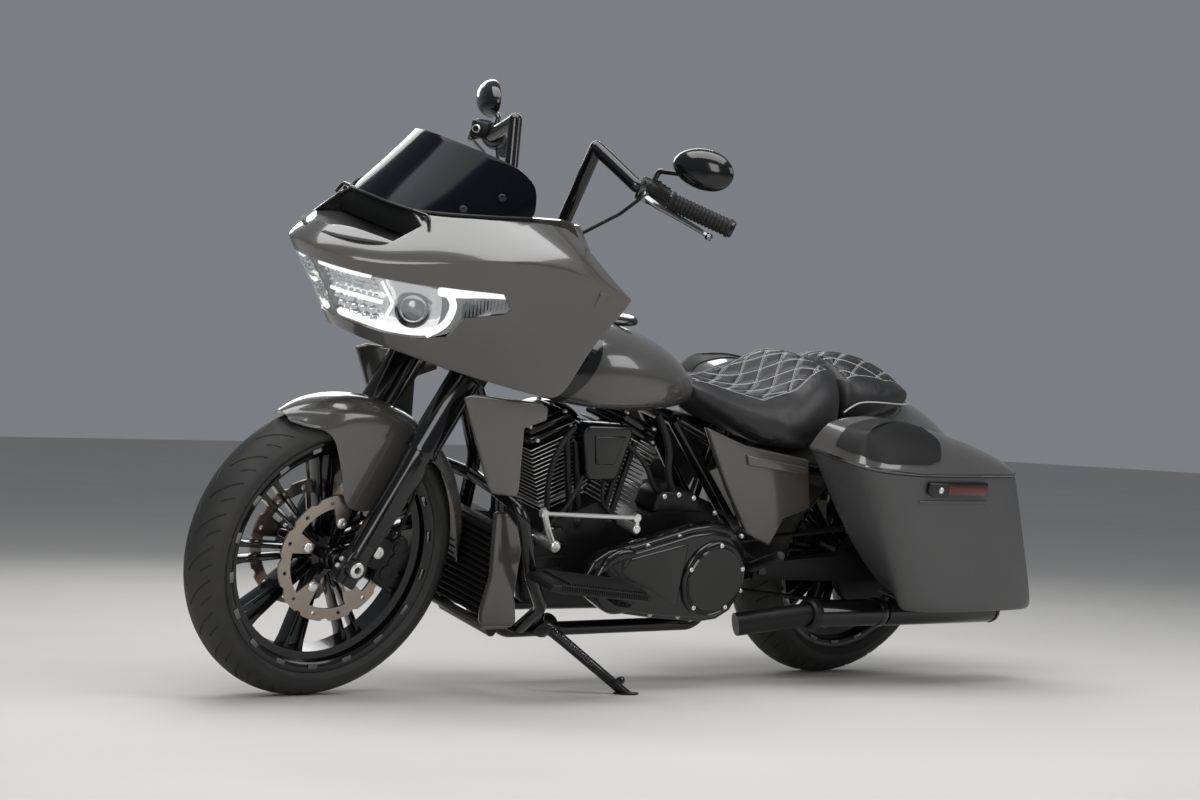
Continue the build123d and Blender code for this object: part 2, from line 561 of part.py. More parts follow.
with BuildPart() as derby_cover:
    with BuildSketch(side(PRIMARY_OUTER + 12)):
        with Locations((DERBY_X, DERBY_Z)):
            Circle(DERBY_RADIUS)
    extrude(amount=12)
    chamfer(derby_cover.faces().sort_by(Axis.Y)[-1].edges(), 5)
keep(derby_cover.part, "derby_cover")

with BuildPart() as air_cleaner:
    with BuildSketch(side(-CASE_HALF_WIDTH)):
        with Locations((CRANK_X, 590)):
            Ellipse(120, 85)
    extrude(amount=62)
    rod((CRANK_X, -FIN_SIZE / 2, 600), (CRANK_X, -CASE_HALF_WIDTH - 1, 600), 34)
    for x in (CRANK_X - 95, CRANK_X + 95):
        rod((x, -FIN_SIZE / 2, 620), (x, -CASE_HALF_WIDTH - 1, 620), 9)
keep(air_cleaner.part, "air_cleaner")

# ======== Bodywork ========

TANK_SECTIONS = [
    # x, half width, bottom, widest, top
    (1142, 100, 732, 790, 862),
    (1060, 168, 728, 805, 928),
    (900, 176, 722, 805, 918),
    (770, 150, 728, 785, 880),
    (676, 98, 735, 765, 812),
]
with BuildPart() as fuel_tank:
    for x, half, bottom, middle, top in TANK_SECTIONS:
        with BuildSketch(across(x)):
            with BuildLine():
                Polyline((-0.8 * half, bottom), (0.8 * half, bottom), (half, middle))
                ThreePointArc((half, middle), (0, top), (-half, middle))
                Line((-half, middle), (-0.8 * half, bottom))
            make_face()
    loft(ruled=True)
    with BuildSketch(side(TUNNEL_HALF)):
        Polygon((1200, 700), (1200, 858), (640, 787), (640, 700), align=None)
    extrude(amount=2 * TUNNEL_HALF, mode=Mode.SUBTRACT)
keep(fuel_tank.part, "fuel_tank")


def draw_seat(outline, plan, crown, near, far):
    """Cushion from a side-view outline, trimmed by its plan and by its crowned cross-section."""
    with BuildSketch(side(far)) as profile:
        Polygon(*outline, align=None)
    extrude(profile.sketch, amount=far - near)
    with BuildSketch(level(400)) as trim:
        Polygon(*plan, align=None)
    extrude(trim.sketch, amount=700, mode=Mode.INTERSECT)
    with BuildSketch(across(-200)) as section:
        Polygon(*crown, align=None)
    extrude(section.sketch, amount=1000, mode=Mode.INTERSECT)
    with BuildSketch(side(far)) as arch:
        with Locations((REAR_AXLE[0], REAR_AXLE[2])):
            Circle(REAR_FENDER_RADIUS + 0.4)
    extrude(arch.sketch, amount=far - near, mode=Mode.SUBTRACT)


with BuildPart() as seat:
    draw_seat([(672, 800), (600, 772), (520, 752), (440, 765), (390, 820), (340, 861), (215, 862), (215, 655),
               (330, 640), (500, 648), (640, 738), (672, 770)],
              [(672, -95), (480, -185), (230, -185), (215, -150), (215, 150), (230, 185), (480, 185), (672, 95)],
              [(-190, 600), (-190, 740), (-105, 862), (105, 862), (190, 740), (190, 600)], -190, 190)
keep(seat.part, "seat")

with BuildPart() as pillion:
    draw_seat([(210, 866), (95, 860), (-22, 828), (-85, 765), (-60, 735), (210, 700)],
              [(210, -150), (100, -150), (-20, -120), (-75, -60), (-88, 0), (-75, 60), (-20, 120), (100, 150),
               (210, 150)],
              [(-150, 650), (-150, 770), (-112, 822), (-60, 866), (60, 866), (112, 822), (150, 770), (150, 650)],
              -160, 160)
keep(pillion.part, "pillion")

with BuildPart() as side_covers:
    for near, far in ((COVER_INNER, COVER_OUTER), (-COVER_OUTER, -COVER_INNER)):
        slab([(700, 700), (560, 655), (340, 625), (300, 500), (390, 470), (420, 400), (500, 430), (600, 560)], near, far)
keep(side_covers.part, "side_covers")

BEAK = [(1206, 412), (1480, 325), (1729, 166), (1838, 0)]
JAW = [(1232, 275), (1480, 232), (1640, 130), (1701, 0)]
HOOD = [(1240, 252), (1402, 250), (1613, 165), (1668, 0)]


def fairing_ring(rows, plane, inset=0):
    """Plan outline: straight back, one arc down each flank and one round the nose."""
    (x0, y0), (x1, y1), (x2, y2), (x3, y3) = rows
    y0, y1, y2 = y0 - inset, y1 - inset, y2 - inset
    x0, x2, x3 = x0 - inset, x2 - inset, x3 - inset
    with BuildSketch(plane) as ring:
        with BuildLine():
            Line((x0, -y0), (x0, y0))
            ThreePointArc((x0, y0), (x1, y1), (x2, y2))
            ThreePointArc((x2, y2), (x3, y3), (x2, -y2))
            ThreePointArc((x2, -y2), (x1, -y1), (x0, -y0))
        make_face()
    return ring.sketch


LAMP_WINDOW = [(1850, 1024), (1850, 900), (1709, 897), (1655, 888), (1591, 893), (1556, 909), (1543, 960),
               (1463, 984), (1457, 995), (1468, 1006), (1482, 1026), (1563, 1022), (1640, 1019), (1708, 1017)]
LAMP_LIP, LAMP_DEPTH = 7, 30
VENT_HALF = 180
VENT_WINDOW = [(1640, -165), (1690, -165), (1748, -50), (1748, 50), (1690, 165), (1640, 165)]
JAW_PLANE = Plane(origin=(0, 0, 560), x_dir=(1, 0, 0.18), z_dir=(-0.18, 0, 1))
BEAK_PLANE = level(1058)
HOOD_PLANE = level(1182)
with BuildPart() as main_fairing:
    loft([fairing_ring(JAW, JAW_PLANE), fairing_ring(BEAK, BEAK_PLANE)], ruled=True)
    loft([fairing_ring(BEAK, BEAK_PLANE), fairing_ring(HOOD, HOOD_PLANE)], ruled=True)
    loft([fairing_ring(JAW, JAW_PLANE.offset(-1), SKIN), fairing_ring(BEAK, BEAK_PLANE, SKIN)], ruled=True,
         mode=Mode.SUBTRACT)
    loft([fairing_ring(BEAK, BEAK_PLANE, SKIN), fairing_ring(HOOD, HOOD_PLANE.offset(1), SKIN)], ruled=True,
         mode=Mode.SUBTRACT)
    with BuildSketch(side(450)):
        Polygon((1100, 690), (1258, 690), (1250, 800), (1236, 850), (1246, 921), (1214, 1009), (1200, 1050),
                (1216, 1076), (1262, 1120), (1275, 1200), (1100, 1200), align=None)
        Polygon(*LAMP_WINDOW, align=None)
    extrude(amount=900, mode=Mode.SUBTRACT)
    with BuildSketch(level(1080)):
        Polygon(*VENT_WINDOW, align=None)
    extrude(amount=120, mode=Mode.SUBTRACT)
keep(main_fairing.part, "main_fairing")

with BuildPart() as vent_duct:
    loft([fairing_ring(BEAK, BEAK_PLANE, SKIN + CLEARANCE), fairing_ring(HOOD, HOOD_PLANE, SKIN + CLEARANCE)],
         ruled=True)
    with BuildSketch(side(VENT_HALF)):
        Polygon((1800, 1084), (1590, 1098), (1590, 1102), (1800, 1088), align=None)
    extrude(amount=2 * VENT_HALF, mode=Mode.INTERSECT)
keep(vent_duct.part, "vent_duct")

DASH_HALF = 190
with BuildPart() as inner_fairing:
    loft([fairing_ring(JAW, JAW_PLANE, SKIN + CLEARANCE), fairing_ring(BEAK, BEAK_PLANE, SKIN + CLEARANCE)], ruled=True)
    loft([fairing_ring(BEAK, BEAK_PLANE, SKIN + CLEARANCE), fairing_ring(HOOD, HOOD_PLANE, SKIN + CLEARANCE)],
         ruled=True)
    with BuildSketch(level(700)):
        Polygon((1262, -450), (1262, -DASH_HALF), (1412, -DASH_HALF), (1412, DASH_HALF), (1262, DASH_HALF),
                (1262, 450), (1280, 450), (1280, DASH_HALF + 14), (1426, DASH_HALF + 14), (1426, -DASH_HALF - 14),
                (1280, -DASH_HALF - 14), (1280, -450), align=None)
    extrude(amount=500, mode=Mode.INTERSECT)
    with Locations((1400, 0, 850)):
        Box(400, 2 * DASH_HALF + 40, 260, mode=Mode.SUBTRACT)
keep(inner_fairing.part, "inner_fairing")

with BuildPart() as headlight:
    inset = SKIN + CLEARANCE
    loft([fairing_ring(JAW, JAW_PLANE, inset), fairing_ring(BEAK, BEAK_PLANE, inset)], ruled=True)
    inset += LAMP_DEPTH
    loft([fairing_ring(JAW, JAW_PLANE.offset(-1), inset), fairing_ring(BEAK, BEAK_PLANE.offset(1), inset)],
         ruled=True, mode=Mode.SUBTRACT)
    with BuildSketch(side(450)):
        Polygon(*LAMP_WINDOW, align=None)
        offset(amount=LAMP_LIP, kind=Kind.INTERSECTION)
    extrude(amount=900, mode=Mode.INTERSECT)
    for y in (90, -90):
        rod((1758, y, 1000), (1426.3, y, 1000), 8)
keep(headlight.part, "headlight")

SHIELD_FOOT = [(1390, 249), (1560, 215), (1625, 130), (1650, 0)]
SHIELD_TOP = [(1384, 232), (1440, 190), (1478, 100), (1492, 0)]
with BuildPart() as windshield:
    loft([fairing_ring(SHIELD_FOOT, level(1182.3)), fairing_ring(SHIELD_TOP, level(1326))], ruled=True)
    loft([fairing_ring(SHIELD_FOOT, level(1181.3), SKIN), fairing_ring(SHIELD_TOP, level(1327), SKIN)], ruled=True,
         mode=Mode.SUBTRACT)
    with Locations((1384, 0, 1255)):
        Box(30, 700, 160, mode=Mode.SUBTRACT)
keep(windshield.part, "windshield")

with BuildPart() as lower_fairings:
    for near, far in ((222, 226), (-226, -222)):
        slab([(1470, 772), (1226, 756), (1228, 720), (1290, 700), (1262, 536), (1352, 546)], near, far)
    for y in (1, -1):
        rod((1243.6, y * 59.2, 640), (1300, y * 223, 640), 6)
keep(lower_fairings.part, "lower_fairings")

with BuildPart() as chin_fairing:
    for near, far in ((CHIN_INNER, CHIN_OUTER), (-CHIN_OUTER, -CHIN_INNER)):
        slab([(1262, 478), (1212, 452), (1186, 280), (1166, 216), (1262, 218), (1252, 330)], near, far)
    slab([(1262, 205), (1188, 205), (1188, 217), (1262, 217)], -CHIN_OUTER, CHIN_OUTER)
keep(chin_fairing.part, "chin_fairing")

with BuildPart() as radiator_grille:
    slab([(1240, 225), (1228, 225), (1228, 440), (1240, 440)], CLEARANCE - CHIN_INNER, CHIN_INNER - CLEARANCE)
keep(radiator_grille.part, "radiator_grille")

GUARD_ROUTE = [(1234, 0, 528), (1262, 150, 528), (1252, 232, 505), (1190, 236, 345), (1120, 205, 264),
               (1098, 114.3, 184.5)]
GUARD_BENDS, GUARD_RADIUS = [150, 40, 100, 60], 15
with BuildPart() as engine_guard:
    bent_bar(GUARD_ROUTE, GUARD_BENDS, GUARD_RADIUS)
    mirror(about=Plane.XZ)
keep(engine_guard.part, "engine_guard")

with BuildPart() as footrests:
    for y in (1, -1):
        near, far = sorted((y * 256, y * 368))
        slab([(1235, 362), (1215, 372), (930, 344), (925, 332)], near, far)
        rod((1192, y * 240, 352), (1192, y * 262, 358), 9)
        bent_bar([(455, y * (ARM_INNER - 0.7), 345), (455, y * 175, 345), (470, y * 300, 420)], [20], 12)
        bent_bar([(x, y * left, z) for x, left, z in GUARD_ROUTE], GUARD_BENDS, GUARD_RADIUS + CLEARANCE,
                 Mode.SUBTRACT)
keep(footrests.part, "footrests")

with BuildPart() as shift_linkage:
    rod((1154, 186, 488), (863, 186, 478), 5)
    rod((1156, 186, 496), (1104, 186, 412), 7)
    rod((1104, 197, 412), (1104, CASE_HALF_WIDTH, 412), 10)
    rod((863, 186, 486), (863, 186, 450), 6.5)
    rod((863, 195, 450), (863, CASE_HALF_WIDTH, 450), 8.5)
keep(shift_linkage.part, "shift_linkage")

MUFFLER_RADIUS, MUFFLER_Y, MUFFLER_Z = 35, 262, 250
with BuildPart() as exhausts:
    for y in (1, -1):
        rod((300, y * MUFFLER_Y, MUFFLER_Z), (-350, y * MUFFLER_Y, MUFFLER_Z), MUFFLER_RADIUS)
        rod((480, y * 190, 200), (300, y * MUFFLER_Y, MUFFLER_Z), 30)
        for x in (50, -250):
            rod((x, y * MUFFLER_Y, MUFFLER_Z + 20), (x, y * MUFFLER_Y, 289.8), 8)
keep(exhausts.part, "exhausts")

BAG_SIDE = [(512, 700), (404, 561), (203, 314), (131, 290), (-372, 290), (-195, 652)]
LID_SIDE = [(500, 699.6), (350, 772), (180, 790), (-150, 712), (-190, 652.7)]
for name, y in (("saddlebag_left", 1), ("saddlebag_right", -1)):
    with BuildPart() as saddlebag:
        near, far = sorted((y * BAG_INNER, y * BAG_OUTER))
        slab(BAG_SIDE, near, far)
        with BuildSketch(side(near + BAG_WALL)):
            Polygon(*BAG_SIDE, align=None)
            offset(amount=-BAG_WALL, kind=Kind.INTERSECTION)
            Polygon((480, 720), (480, 690), (-170, 640), (-170, 720), align=None)
        extrude(amount=near - far + 2 * BAG_WALL, mode=Mode.SUBTRACT)
    keep(saddlebag.part, name)

for name, y in (("bag_lid_left", 1), ("bag_lid_right", -1)):
    with BuildPart() as lid:
        near, far = sorted((y * BAG_INNER, y * BAG_OUTER))
        slab(LID_SIDE, near, far)
        with BuildSketch(side(far - BAG_WALL)):
            Polygon(*LID_SIDE, align=None)
            offset(amount=-BAG_WALL, kind=Kind.INTERSECTION)
            Polygon((480, 690), (480, 704), (-170, 660), (-170, 640), align=None)
        extrude(amount=far - near - 2 * BAG_WALL, mode=Mode.SUBTRACT)
    keep(lid.part, name)

with BuildPart() as rear_fender:
    half, skin = REAR_FENDER_HALF, FENDER_SKIN
    shoulder = REAR_FENDER_RADIUS - 45
    with BuildSketch(hub_plane(REAR_AXLE)):
        with BuildLine():
            Line((half, 300), (half, shoulder))
            ThreePointArc((half, shoulder), (0, REAR_FENDER_RADIUS), (-half, shoulder))
            Polyline((-half, shoulder), (-half, 300), (skin - half, 300), (skin - half, shoulder))
            ThreePointArc((skin - half, shoulder), (0, REAR_FENDER_RADIUS - skin), (half - skin, shoulder))
            Polyline((half - skin, shoulder), (half - skin, 300), (half, 300))
        make_face()
    revolve(axis=axle_line(REAR_AXLE))
    with BuildSketch(side(200)):
        Polygon((330, 560), (-600, 380), (-600, 900), (330, 900), align=None)
    extrude(amount=400, mode=Mode.INTERSECT)
keep(rear_fender.part, "rear_fender")

LAMP_GAP, PLATE_THICKNESS = 4, 3
PLATE_X = REAR_AXLE[0] - REAR_FENDER_RADIUS - LAMP_GAP
PLATE_HOLE, PLATE_SPACING, PLATE_HOLE_Z = 3.5, 178, 480
with BuildPart() as tail_lamp:
    with BuildSketch(across(PLATE_X)):
        with Locations((0, 440)):
            RectangleRounded(210, 130, 12)
        with Locations((-PLATE_SPACING / 2, PLATE_HOLE_Z), (PLATE_SPACING / 2, PLATE_HOLE_Z)):
            Circle(PLATE_HOLE, mode=Mode.SUBTRACT)
    extrude(amount=-PLATE_THICKNESS)
    with BuildSketch(across(PLATE_X)):
        with Locations((0, 520)):
            RectangleRounded(130, 44, 16)
    extrude(amount=-26)
    rod((PLATE_X, 0, 500), (PLATE_X + 56, 0, 500), 12)
    with BuildSketch(side(40)):
        with Locations((REAR_AXLE[0], REAR_AXLE[2])):
            Circle(REAR_FENDER_RADIUS + CLEARANCE)
    extrude(amount=80, mode=Mode.SUBTRACT)
keep(tail_lamp.part, "tail_lamp")

with BuildPart() as swingarm:
    for y in (1, -1):
        near, far = sorted((y * ARM_INNER, y * ARM_OUTER))
        slab([(430, 350), (430, 310), (-45, 296), (-60, 328), (-45, 360), (60, 376)], near, far)
        rod((SHOCK_BOTTOM[0], y * ARM_INNER, SHOCK_BOTTOM[1]), (SHOCK_BOTTOM[0], y * (SHOCK_Y + 14), SHOCK_BOTTOM[1]), SHOCK_STUD)
    rod((354, -ARM_OUTER, 330), (354, ARM_OUTER, 330), 15)
    with BuildSketch(side(ARM_OUTER + 1)):
        with Locations((REAR_AXLE[0], REAR_AXLE[2])):
            Circle(AXLE_RADIUS)
        with Locations(SWING_PIVOT):
            Circle(PIVOT_RADIUS + CLEARANCE)
    extrude(amount=2 * ARM_OUTER + 2, mode=Mode.SUBTRACT)
keep(swingarm.part, "swingarm")

with BuildPart() as rear_axle:
    axle_half = ARM_OUTER + 12
    rod((REAR_AXLE[0], -axle_half, REAR_AXLE[2]), (REAR_AXLE[0], axle_half, REAR_AXLE[2]), AXLE_RADIUS)
keep(rear_axle.part, "rear_axle")

with BuildPart() as rear_shocks:
    run = Vector(SHOCK_TOP[0], 0, SHOCK_TOP[1]) - Vector(SHOCK_BOTTOM[0], 0, SHOCK_BOTTOM[1])
    step = run.normalized() * 14
    for y in (1, -1):
        rod((SHOCK_BOTTOM[0] + step.X, y * SHOCK_Y, SHOCK_BOTTOM[1] + step.Z),
            (SHOCK_TOP[0] - step.X, y * SHOCK_Y, SHOCK_TOP[1] - step.Z), SHOCK_RADIUS)
    for x, z in (SHOCK_TOP, SHOCK_BOTTOM):
        for near in (SHOCK_Y + 12, 12 - SHOCK_Y):
            with BuildSketch(side(near)):
                with Locations((x, z)):
                    Circle(15)
            extrude(amount=24)
    with BuildSketch(side(220)):
        with Locations(SHOCK_TOP, SHOCK_BOTTOM):
            Circle(SHOCK_STUD + CLEARANCE)
    extrude(amount=440, mode=Mode.SUBTRACT)
keep(rear_shocks.part, "rear_shocks")

FRONT_PULLEY, FRONT_PULLEY_RADIUS, BELT_THICKNESS = (590, 336), 46, 6
with BuildPart() as drive_belt:
    with BuildSketch(side(PULLEY_OFFSET + PULLEY_WIDTH / 2 - 2)):
        for grow, mode in ((BELT_THICKNESS, Mode.ADD), (0, Mode.SUBTRACT)):
            rear_turn = PULLEY_RADIUS + CLEARANCE + grow
            front_turn = FRONT_PULLEY_RADIUS + grow
            with Locations((REAR_AXLE[0], REAR_AXLE[2])):
                Circle(rear_turn, mode=mode)
            with Locations(FRONT_PULLEY):
                Circle(front_turn, mode=mode)
            rear_x, rear_z, front_x, front_z = REAR_AXLE[0], REAR_AXLE[2], *FRONT_PULLEY
            shift = (rear_turn - front_turn) / (front_x - rear_x)
            rise = (1 - shift ** 2) ** 0.5
            Polygon((rear_x + rear_turn * shift, rear_z + rear_turn * rise),
                    (front_x + front_turn * shift, front_z + front_turn * rise),
                    (front_x + front_turn * shift, front_z - front_turn * rise),
                    (rear_x + rear_turn * shift, rear_z - rear_turn * rise), align=None, mode=mode)
    extrude(amount=PULLEY_WIDTH - 4)
keep(drive_belt.part, "drive_belt")

with BuildPart() as rear_caliper:
    slab([(36, 438), (-56, 438), (-56, 492), (36, 492)], -134, -96)
    with BuildSketch(Plane(origin=(REAR_AXLE[0], -108, REAR_AXLE[2]), z_dir=(0, 1, 0))):
        Circle(DISC_RADIUS + 6)
    extrude(amount=11, mode=Mode.SUBTRACT)
    slab([(30, 360), (-20, 360), (-20, 450), (30, 450)], -137, -112)
keep(rear_caliper.part, "rear_caliper")

# ======== Onto the stand ========

PARKED = Location((0, 0, LIFT), (-LEAN, 0, 0))
leaned = [PARKED * piece for piece in pieces]
spans = [piece.bounding_box() for piece in leaned]
CENTRE_X = (min(span.min.X for span in spans) + max(span.max.X for span in spans)) / 2
CENTRE_Y = (min(span.min.Y for span in spans) + max(span.max.Y for span in spans)) / 2
print("origin under the upright bike's frame:", round(CENTRE_X, 3), round(CENTRE_Y, 3))

for piece in leaned:
    export_step(Location((-CENTRE_X, -CENTRE_Y, 0)) * piece, f"parts/{piece.label}.step")
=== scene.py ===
import json
import math

import bpy
from mathutils import Matrix, Vector


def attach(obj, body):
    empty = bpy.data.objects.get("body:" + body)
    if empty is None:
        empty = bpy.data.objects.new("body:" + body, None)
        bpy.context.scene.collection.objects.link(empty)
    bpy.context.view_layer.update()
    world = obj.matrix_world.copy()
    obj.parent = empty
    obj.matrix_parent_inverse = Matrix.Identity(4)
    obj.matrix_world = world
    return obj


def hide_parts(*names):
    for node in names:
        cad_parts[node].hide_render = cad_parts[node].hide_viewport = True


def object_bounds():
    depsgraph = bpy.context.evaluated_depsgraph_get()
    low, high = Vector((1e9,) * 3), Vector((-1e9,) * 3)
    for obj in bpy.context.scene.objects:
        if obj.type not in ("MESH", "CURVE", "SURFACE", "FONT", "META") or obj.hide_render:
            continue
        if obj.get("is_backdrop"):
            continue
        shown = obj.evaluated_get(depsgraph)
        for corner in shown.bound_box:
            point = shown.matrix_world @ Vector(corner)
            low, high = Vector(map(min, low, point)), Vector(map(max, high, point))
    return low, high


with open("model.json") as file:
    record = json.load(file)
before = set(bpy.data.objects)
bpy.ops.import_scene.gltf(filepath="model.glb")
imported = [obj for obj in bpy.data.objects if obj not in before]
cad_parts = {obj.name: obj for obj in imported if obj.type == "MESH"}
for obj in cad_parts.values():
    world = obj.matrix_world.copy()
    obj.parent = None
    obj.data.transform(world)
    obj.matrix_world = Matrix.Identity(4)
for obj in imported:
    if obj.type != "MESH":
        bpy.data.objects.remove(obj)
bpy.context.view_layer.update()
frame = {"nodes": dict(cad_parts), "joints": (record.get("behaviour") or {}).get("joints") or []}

MM = 0.001
LEAN = math.radians(-14)
RAKE = math.radians(26)
WHEELBASE = 1625
FRONT_RADIUS, FRONT_WIDTH, FRONT_BEAD = 345, 130, 262
REAR_RADIUS, REAR_WIDTH, REAR_BEAD = 328, 180, 229
FRONT_AXLE = Vector((WHEELBASE, 0, FRONT_RADIUS))
REAR_AXLE = Vector((0, 0, 330.1))
SIDES = (1, -1)
ACROSS = (0, 1, 0)

# Pieces are modelled on the upright bike, in millimetres from the ground under the rear
# axle, and PARKED leans each one onto the side stand in the shared frame.
lean = Matrix.Rotation(LEAN, 4, "X")
steering = next(j for j in frame["joints"] if j["name"] == "steering")
shift = Vector(steering["pos_m"]) - lean @ (FRONT_AXLE * MM)
PARKED = Matrix.Translation(shift) @ lean @ Matrix.Scale(MM, 4)
FORK_UP = Vector((-math.sin(RAKE), 0, math.cos(RAKE)))
FORK_AHEAD = Vector((math.cos(RAKE), 0, math.sin(RAKE)))


def on_fork(ahead, left, up):
    """A point given along the steering axis, from the front axle."""
    return FRONT_AXLE + FORK_AHEAD * ahead + Vector((0, left, 0)) + FORK_UP * up


def fork_outline(*points):
    """A side-view outline (X, Z) from points given ahead of and up the fork."""
    return [(p.x, p.z) for p in (on_fork(ahead, 0, up) for ahead, up in points)]


# ======== Finishes ========

class Wire:
    """One value in a finish's node tree; sums and products of it add Math nodes."""

    def __init__(self, finish, socket):
        self.finish, self.socket = finish, socket

    def maths(self, operation, *values):
        return self.finish.node("ShaderNodeMath", {"operation": operation}, *values)

    def __add__(self, other):
        return self.maths("ADD", self, other)

    def __sub__(self, other):
        return self.maths("SUBTRACT", self, other)

    def __rsub__(self, other):
        return self.maths("SUBTRACT", other, self)

    def __mul__(self, other):
        return self.maths("MULTIPLY", self, other)

    def __gt__(self, other):
        return self.maths("GREATER_THAN", self, other)

    __radd__, __rmul__ = __add__, __mul__


class Finish:
    """A material with one Principled shader; uniform values sit on its own sockets.

    slot names the record's material slot for this finish; it is stored on the finish but not used.
    """

    def __init__(self, name, slot, color, roughness, **values):
        self.material = bpy.data.materials.new(name)
        self.slot = slot
        self.material.use_nodes = True
        self.tree = self.material.node_tree
        self.shader = self.tree.nodes["Principled BSDF"]
        self.color = (*color, 1)
        self.shader.inputs["Base Color"].default_value = self.color
        self.shader.inputs["Roughness"].default_value = roughness
        for socket, value in values.items():
            self.shader.inputs[socket.replace("_", " ")].default_value = value

    def node(self, kind, settings, *values, output=0, **named):
        node = self.tree.nodes.new(kind)
        for key, value in settings.items():
            if key == "stops":
                ramp = node.color_ramp.elements
                while len(ramp) < len(value):
                    ramp.new(0.5)
                for stop, (place, shade) in zip(ramp, value):
                    stop.position, stop.color = place, (shade, shade, shade, 1)
            else:
                setattr(node, key, value)
        for entry, value in [*enumerate(values), *named.items()]:
            entry = node.inputs[entry.replace("_", " ") if isinstance(entry, str) else entry]
            if isinstance(value, Wire):
                self.tree.links.new(value.socket, entry)
            else:
                entry.default_value = value
        return Wire(self, node.outputs[output])

    def place(self, *stretch):
        """Object coordinates, stretched along each axis where three numbers are given."""
        here = self.node("ShaderNodeTexCoord", {}, output="Object")
        return self.node("ShaderNodeMapping", {}, Vector=here, Scale=stretch) if stretch else here

    def noise(self, scale, detail=3, stretch=(), rough=0.5):
        where = self.place(*stretch)
        return self.node("ShaderNodeTexNoise", {}, Vector=where, Scale=scale, Detail=detail,
                         Roughness=rough)

    def cells(self, scale, feature="F1", stretch=()):
        where = self.place(*stretch)
        return self.node("ShaderNodeTexVoronoi", {"feature": feature}, Vector=where, Scale=scale)

    def ramp(self, wire, *stops):
        return self.node("ShaderNodeValToRGB", {"stops": stops}, wire)

    def feed(self, socket, wire):
        self.tree.links.new(wire.socket, self.shader.inputs[socket])
        return self

    def tint(self, wire, color):
        """Mixes towards another colour where wire is 1."""
        mixed = self.node("ShaderNodeMix", {"data_type": "RGBA"}, output=2, Factor=wire)
        entries = mixed.socket.node.inputs
        entries[6].default_value, entries[7].default_value = self.color, (*color, 1)
        return self.feed("Base Color", mixed)

    def roughen(self, wire, low, high):
        return self.feed("Roughness", wire * (high - low) + low)

    def emboss(self, wire, depth, strength=1.0):
        """Bump of a depth in metres."""
        bump = self.node("ShaderNodeBump", {}, Strength=strength, Distance=depth, Height=wire)
        return self.feed("Normal", bump)


def paint(name, slot, color, roughness, coat, **values):
    """Sprayed paint under lacquer, with a faint orange peel."""
    made = Finish(name, slot, color, roughness, Coat_Weight=coat, Coat_Roughness=0.04, **values)
    made.emboss(made.noise(260, 2), 0.00003, 0.35)
    cloud = made.noise(9, 2)
    return made.tint(made.ramp(cloud, (0.35, 0.0), (0.75, 0.35)), [c * 1.18 for c in color])


body_paint = paint("body_paint", "body_paint", (0.060, 0.057, 0.054), 0.24, 1.0, IOR=1.5)
bag_paint = paint("bag_satin_paint", "bag_paint", (0.062, 0.062, 0.063), 0.42, 0.15)
black_gloss = paint("black_gloss_coat", "black_gloss", (0.004, 0.004, 0.0045), 0.16, 0.35,
                    Specular_IOR_Level=0.35)
black_satin = Finish("black_satin_coat", "black_satin", (0.006, 0.006, 0.0065), 0.38,
                     Specular_IOR_Level=0.3)
black_satin.emboss(black_satin.noise(900, 2), 0.00006, 0.5)
black_satin.roughen(black_satin.noise(40), 0.3, 0.48)
black_plastic = Finish("grained_plastic", "plastic", (0.008, 0.008, 0.008), 0.5, Specular_IOR_Level=0.3)
black_plastic.emboss(black_plastic.cells(1400), 0.00008, 0.6)
black_plastic.roughen(black_plastic.noise(30), 0.42, 0.6)
fin_edge = Finish("machined_fin", "machined", (0.82, 0.82, 0.80), 0.4, Metallic=0.85)
fin_edge.roughen(fin_edge.noise(60, 2, (1, 8, 1)), 0.34, 0.5)
disc_steel = Finish("disc_steel", "steel", (0.40, 0.35, 0.30), 0.32, Metallic=1.0)
disc_steel.emboss(disc_steel.noise(500, 2, (1, 4, 1)), 0.00005, 0.5)
disc_steel.roughen(disc_steel.noise(80), 0.26, 0.42)
bright_steel = Finish("bright_fasteners", "steel", (0.78, 0.78, 0.76), 0.3, Metallic=0.9)
bright_steel.roughen(bright_steel.noise(200), 0.24, 0.38)
dark_chrome = Finish("dark_chrome", "machined", (0.20, 0.20, 0.21), 0.12, Metallic=1.0)
dark_chrome.roughen(dark_chrome.noise(50), 0.08, 0.2)
tyre_rubber = Finish("tyre_rubber", "tyre", (0.017, 0.0165, 0.016), 0.62)
tyre_rubber.emboss(tyre_rubber.noise(700, 3), 0.0001, 0.5)
tyre_rubber.tint(tyre_rubber.ramp(tyre_rubber.noise(14, 4), (0.45, 0), (0.8, 0.7)), (0.035, 0.032, 0.028))
soft_rubber = Finish("black_rubber", "rubber", (0.009, 0.009, 0.009), 0.55, Specular_IOR_Level=0.35)
soft_rubber.emboss(soft_rubber.noise(600), 0.00008, 0.5)
leather = Finish("black_leather", "leather", (0.016, 0.016, 0.017), 0.42, Specular_IOR_Level=0.5)
grain = leather.cells(420, "SMOOTH_F1")
leather.emboss(grain + leather.noise(900, 2) * 0.3, 0.0004, 0.55)
leather.roughen(leather.noise(22), 0.36, 0.52)
thread = Finish("silver_thread", "leather", (0.42, 0.42, 0.43), 0.6)
thread.emboss(thread.noise(1500), 0.0001, 0.6)
smoke = Finish("smoked_screen", "smoke", (0.003, 0.0035, 0.006), 0.08, Alpha=0.965, Specular_IOR_Level=0.1)
smoke.roughen(smoke.noise(5), 0.06, 0.16)
clear_lens = Finish("clear_lens", "lamp", (0.9, 0.92, 0.95), 0.03, Alpha=0.16, IOR=1.5)
clear_lens.roughen(clear_lens.noise(20), 0.02, 0.06)
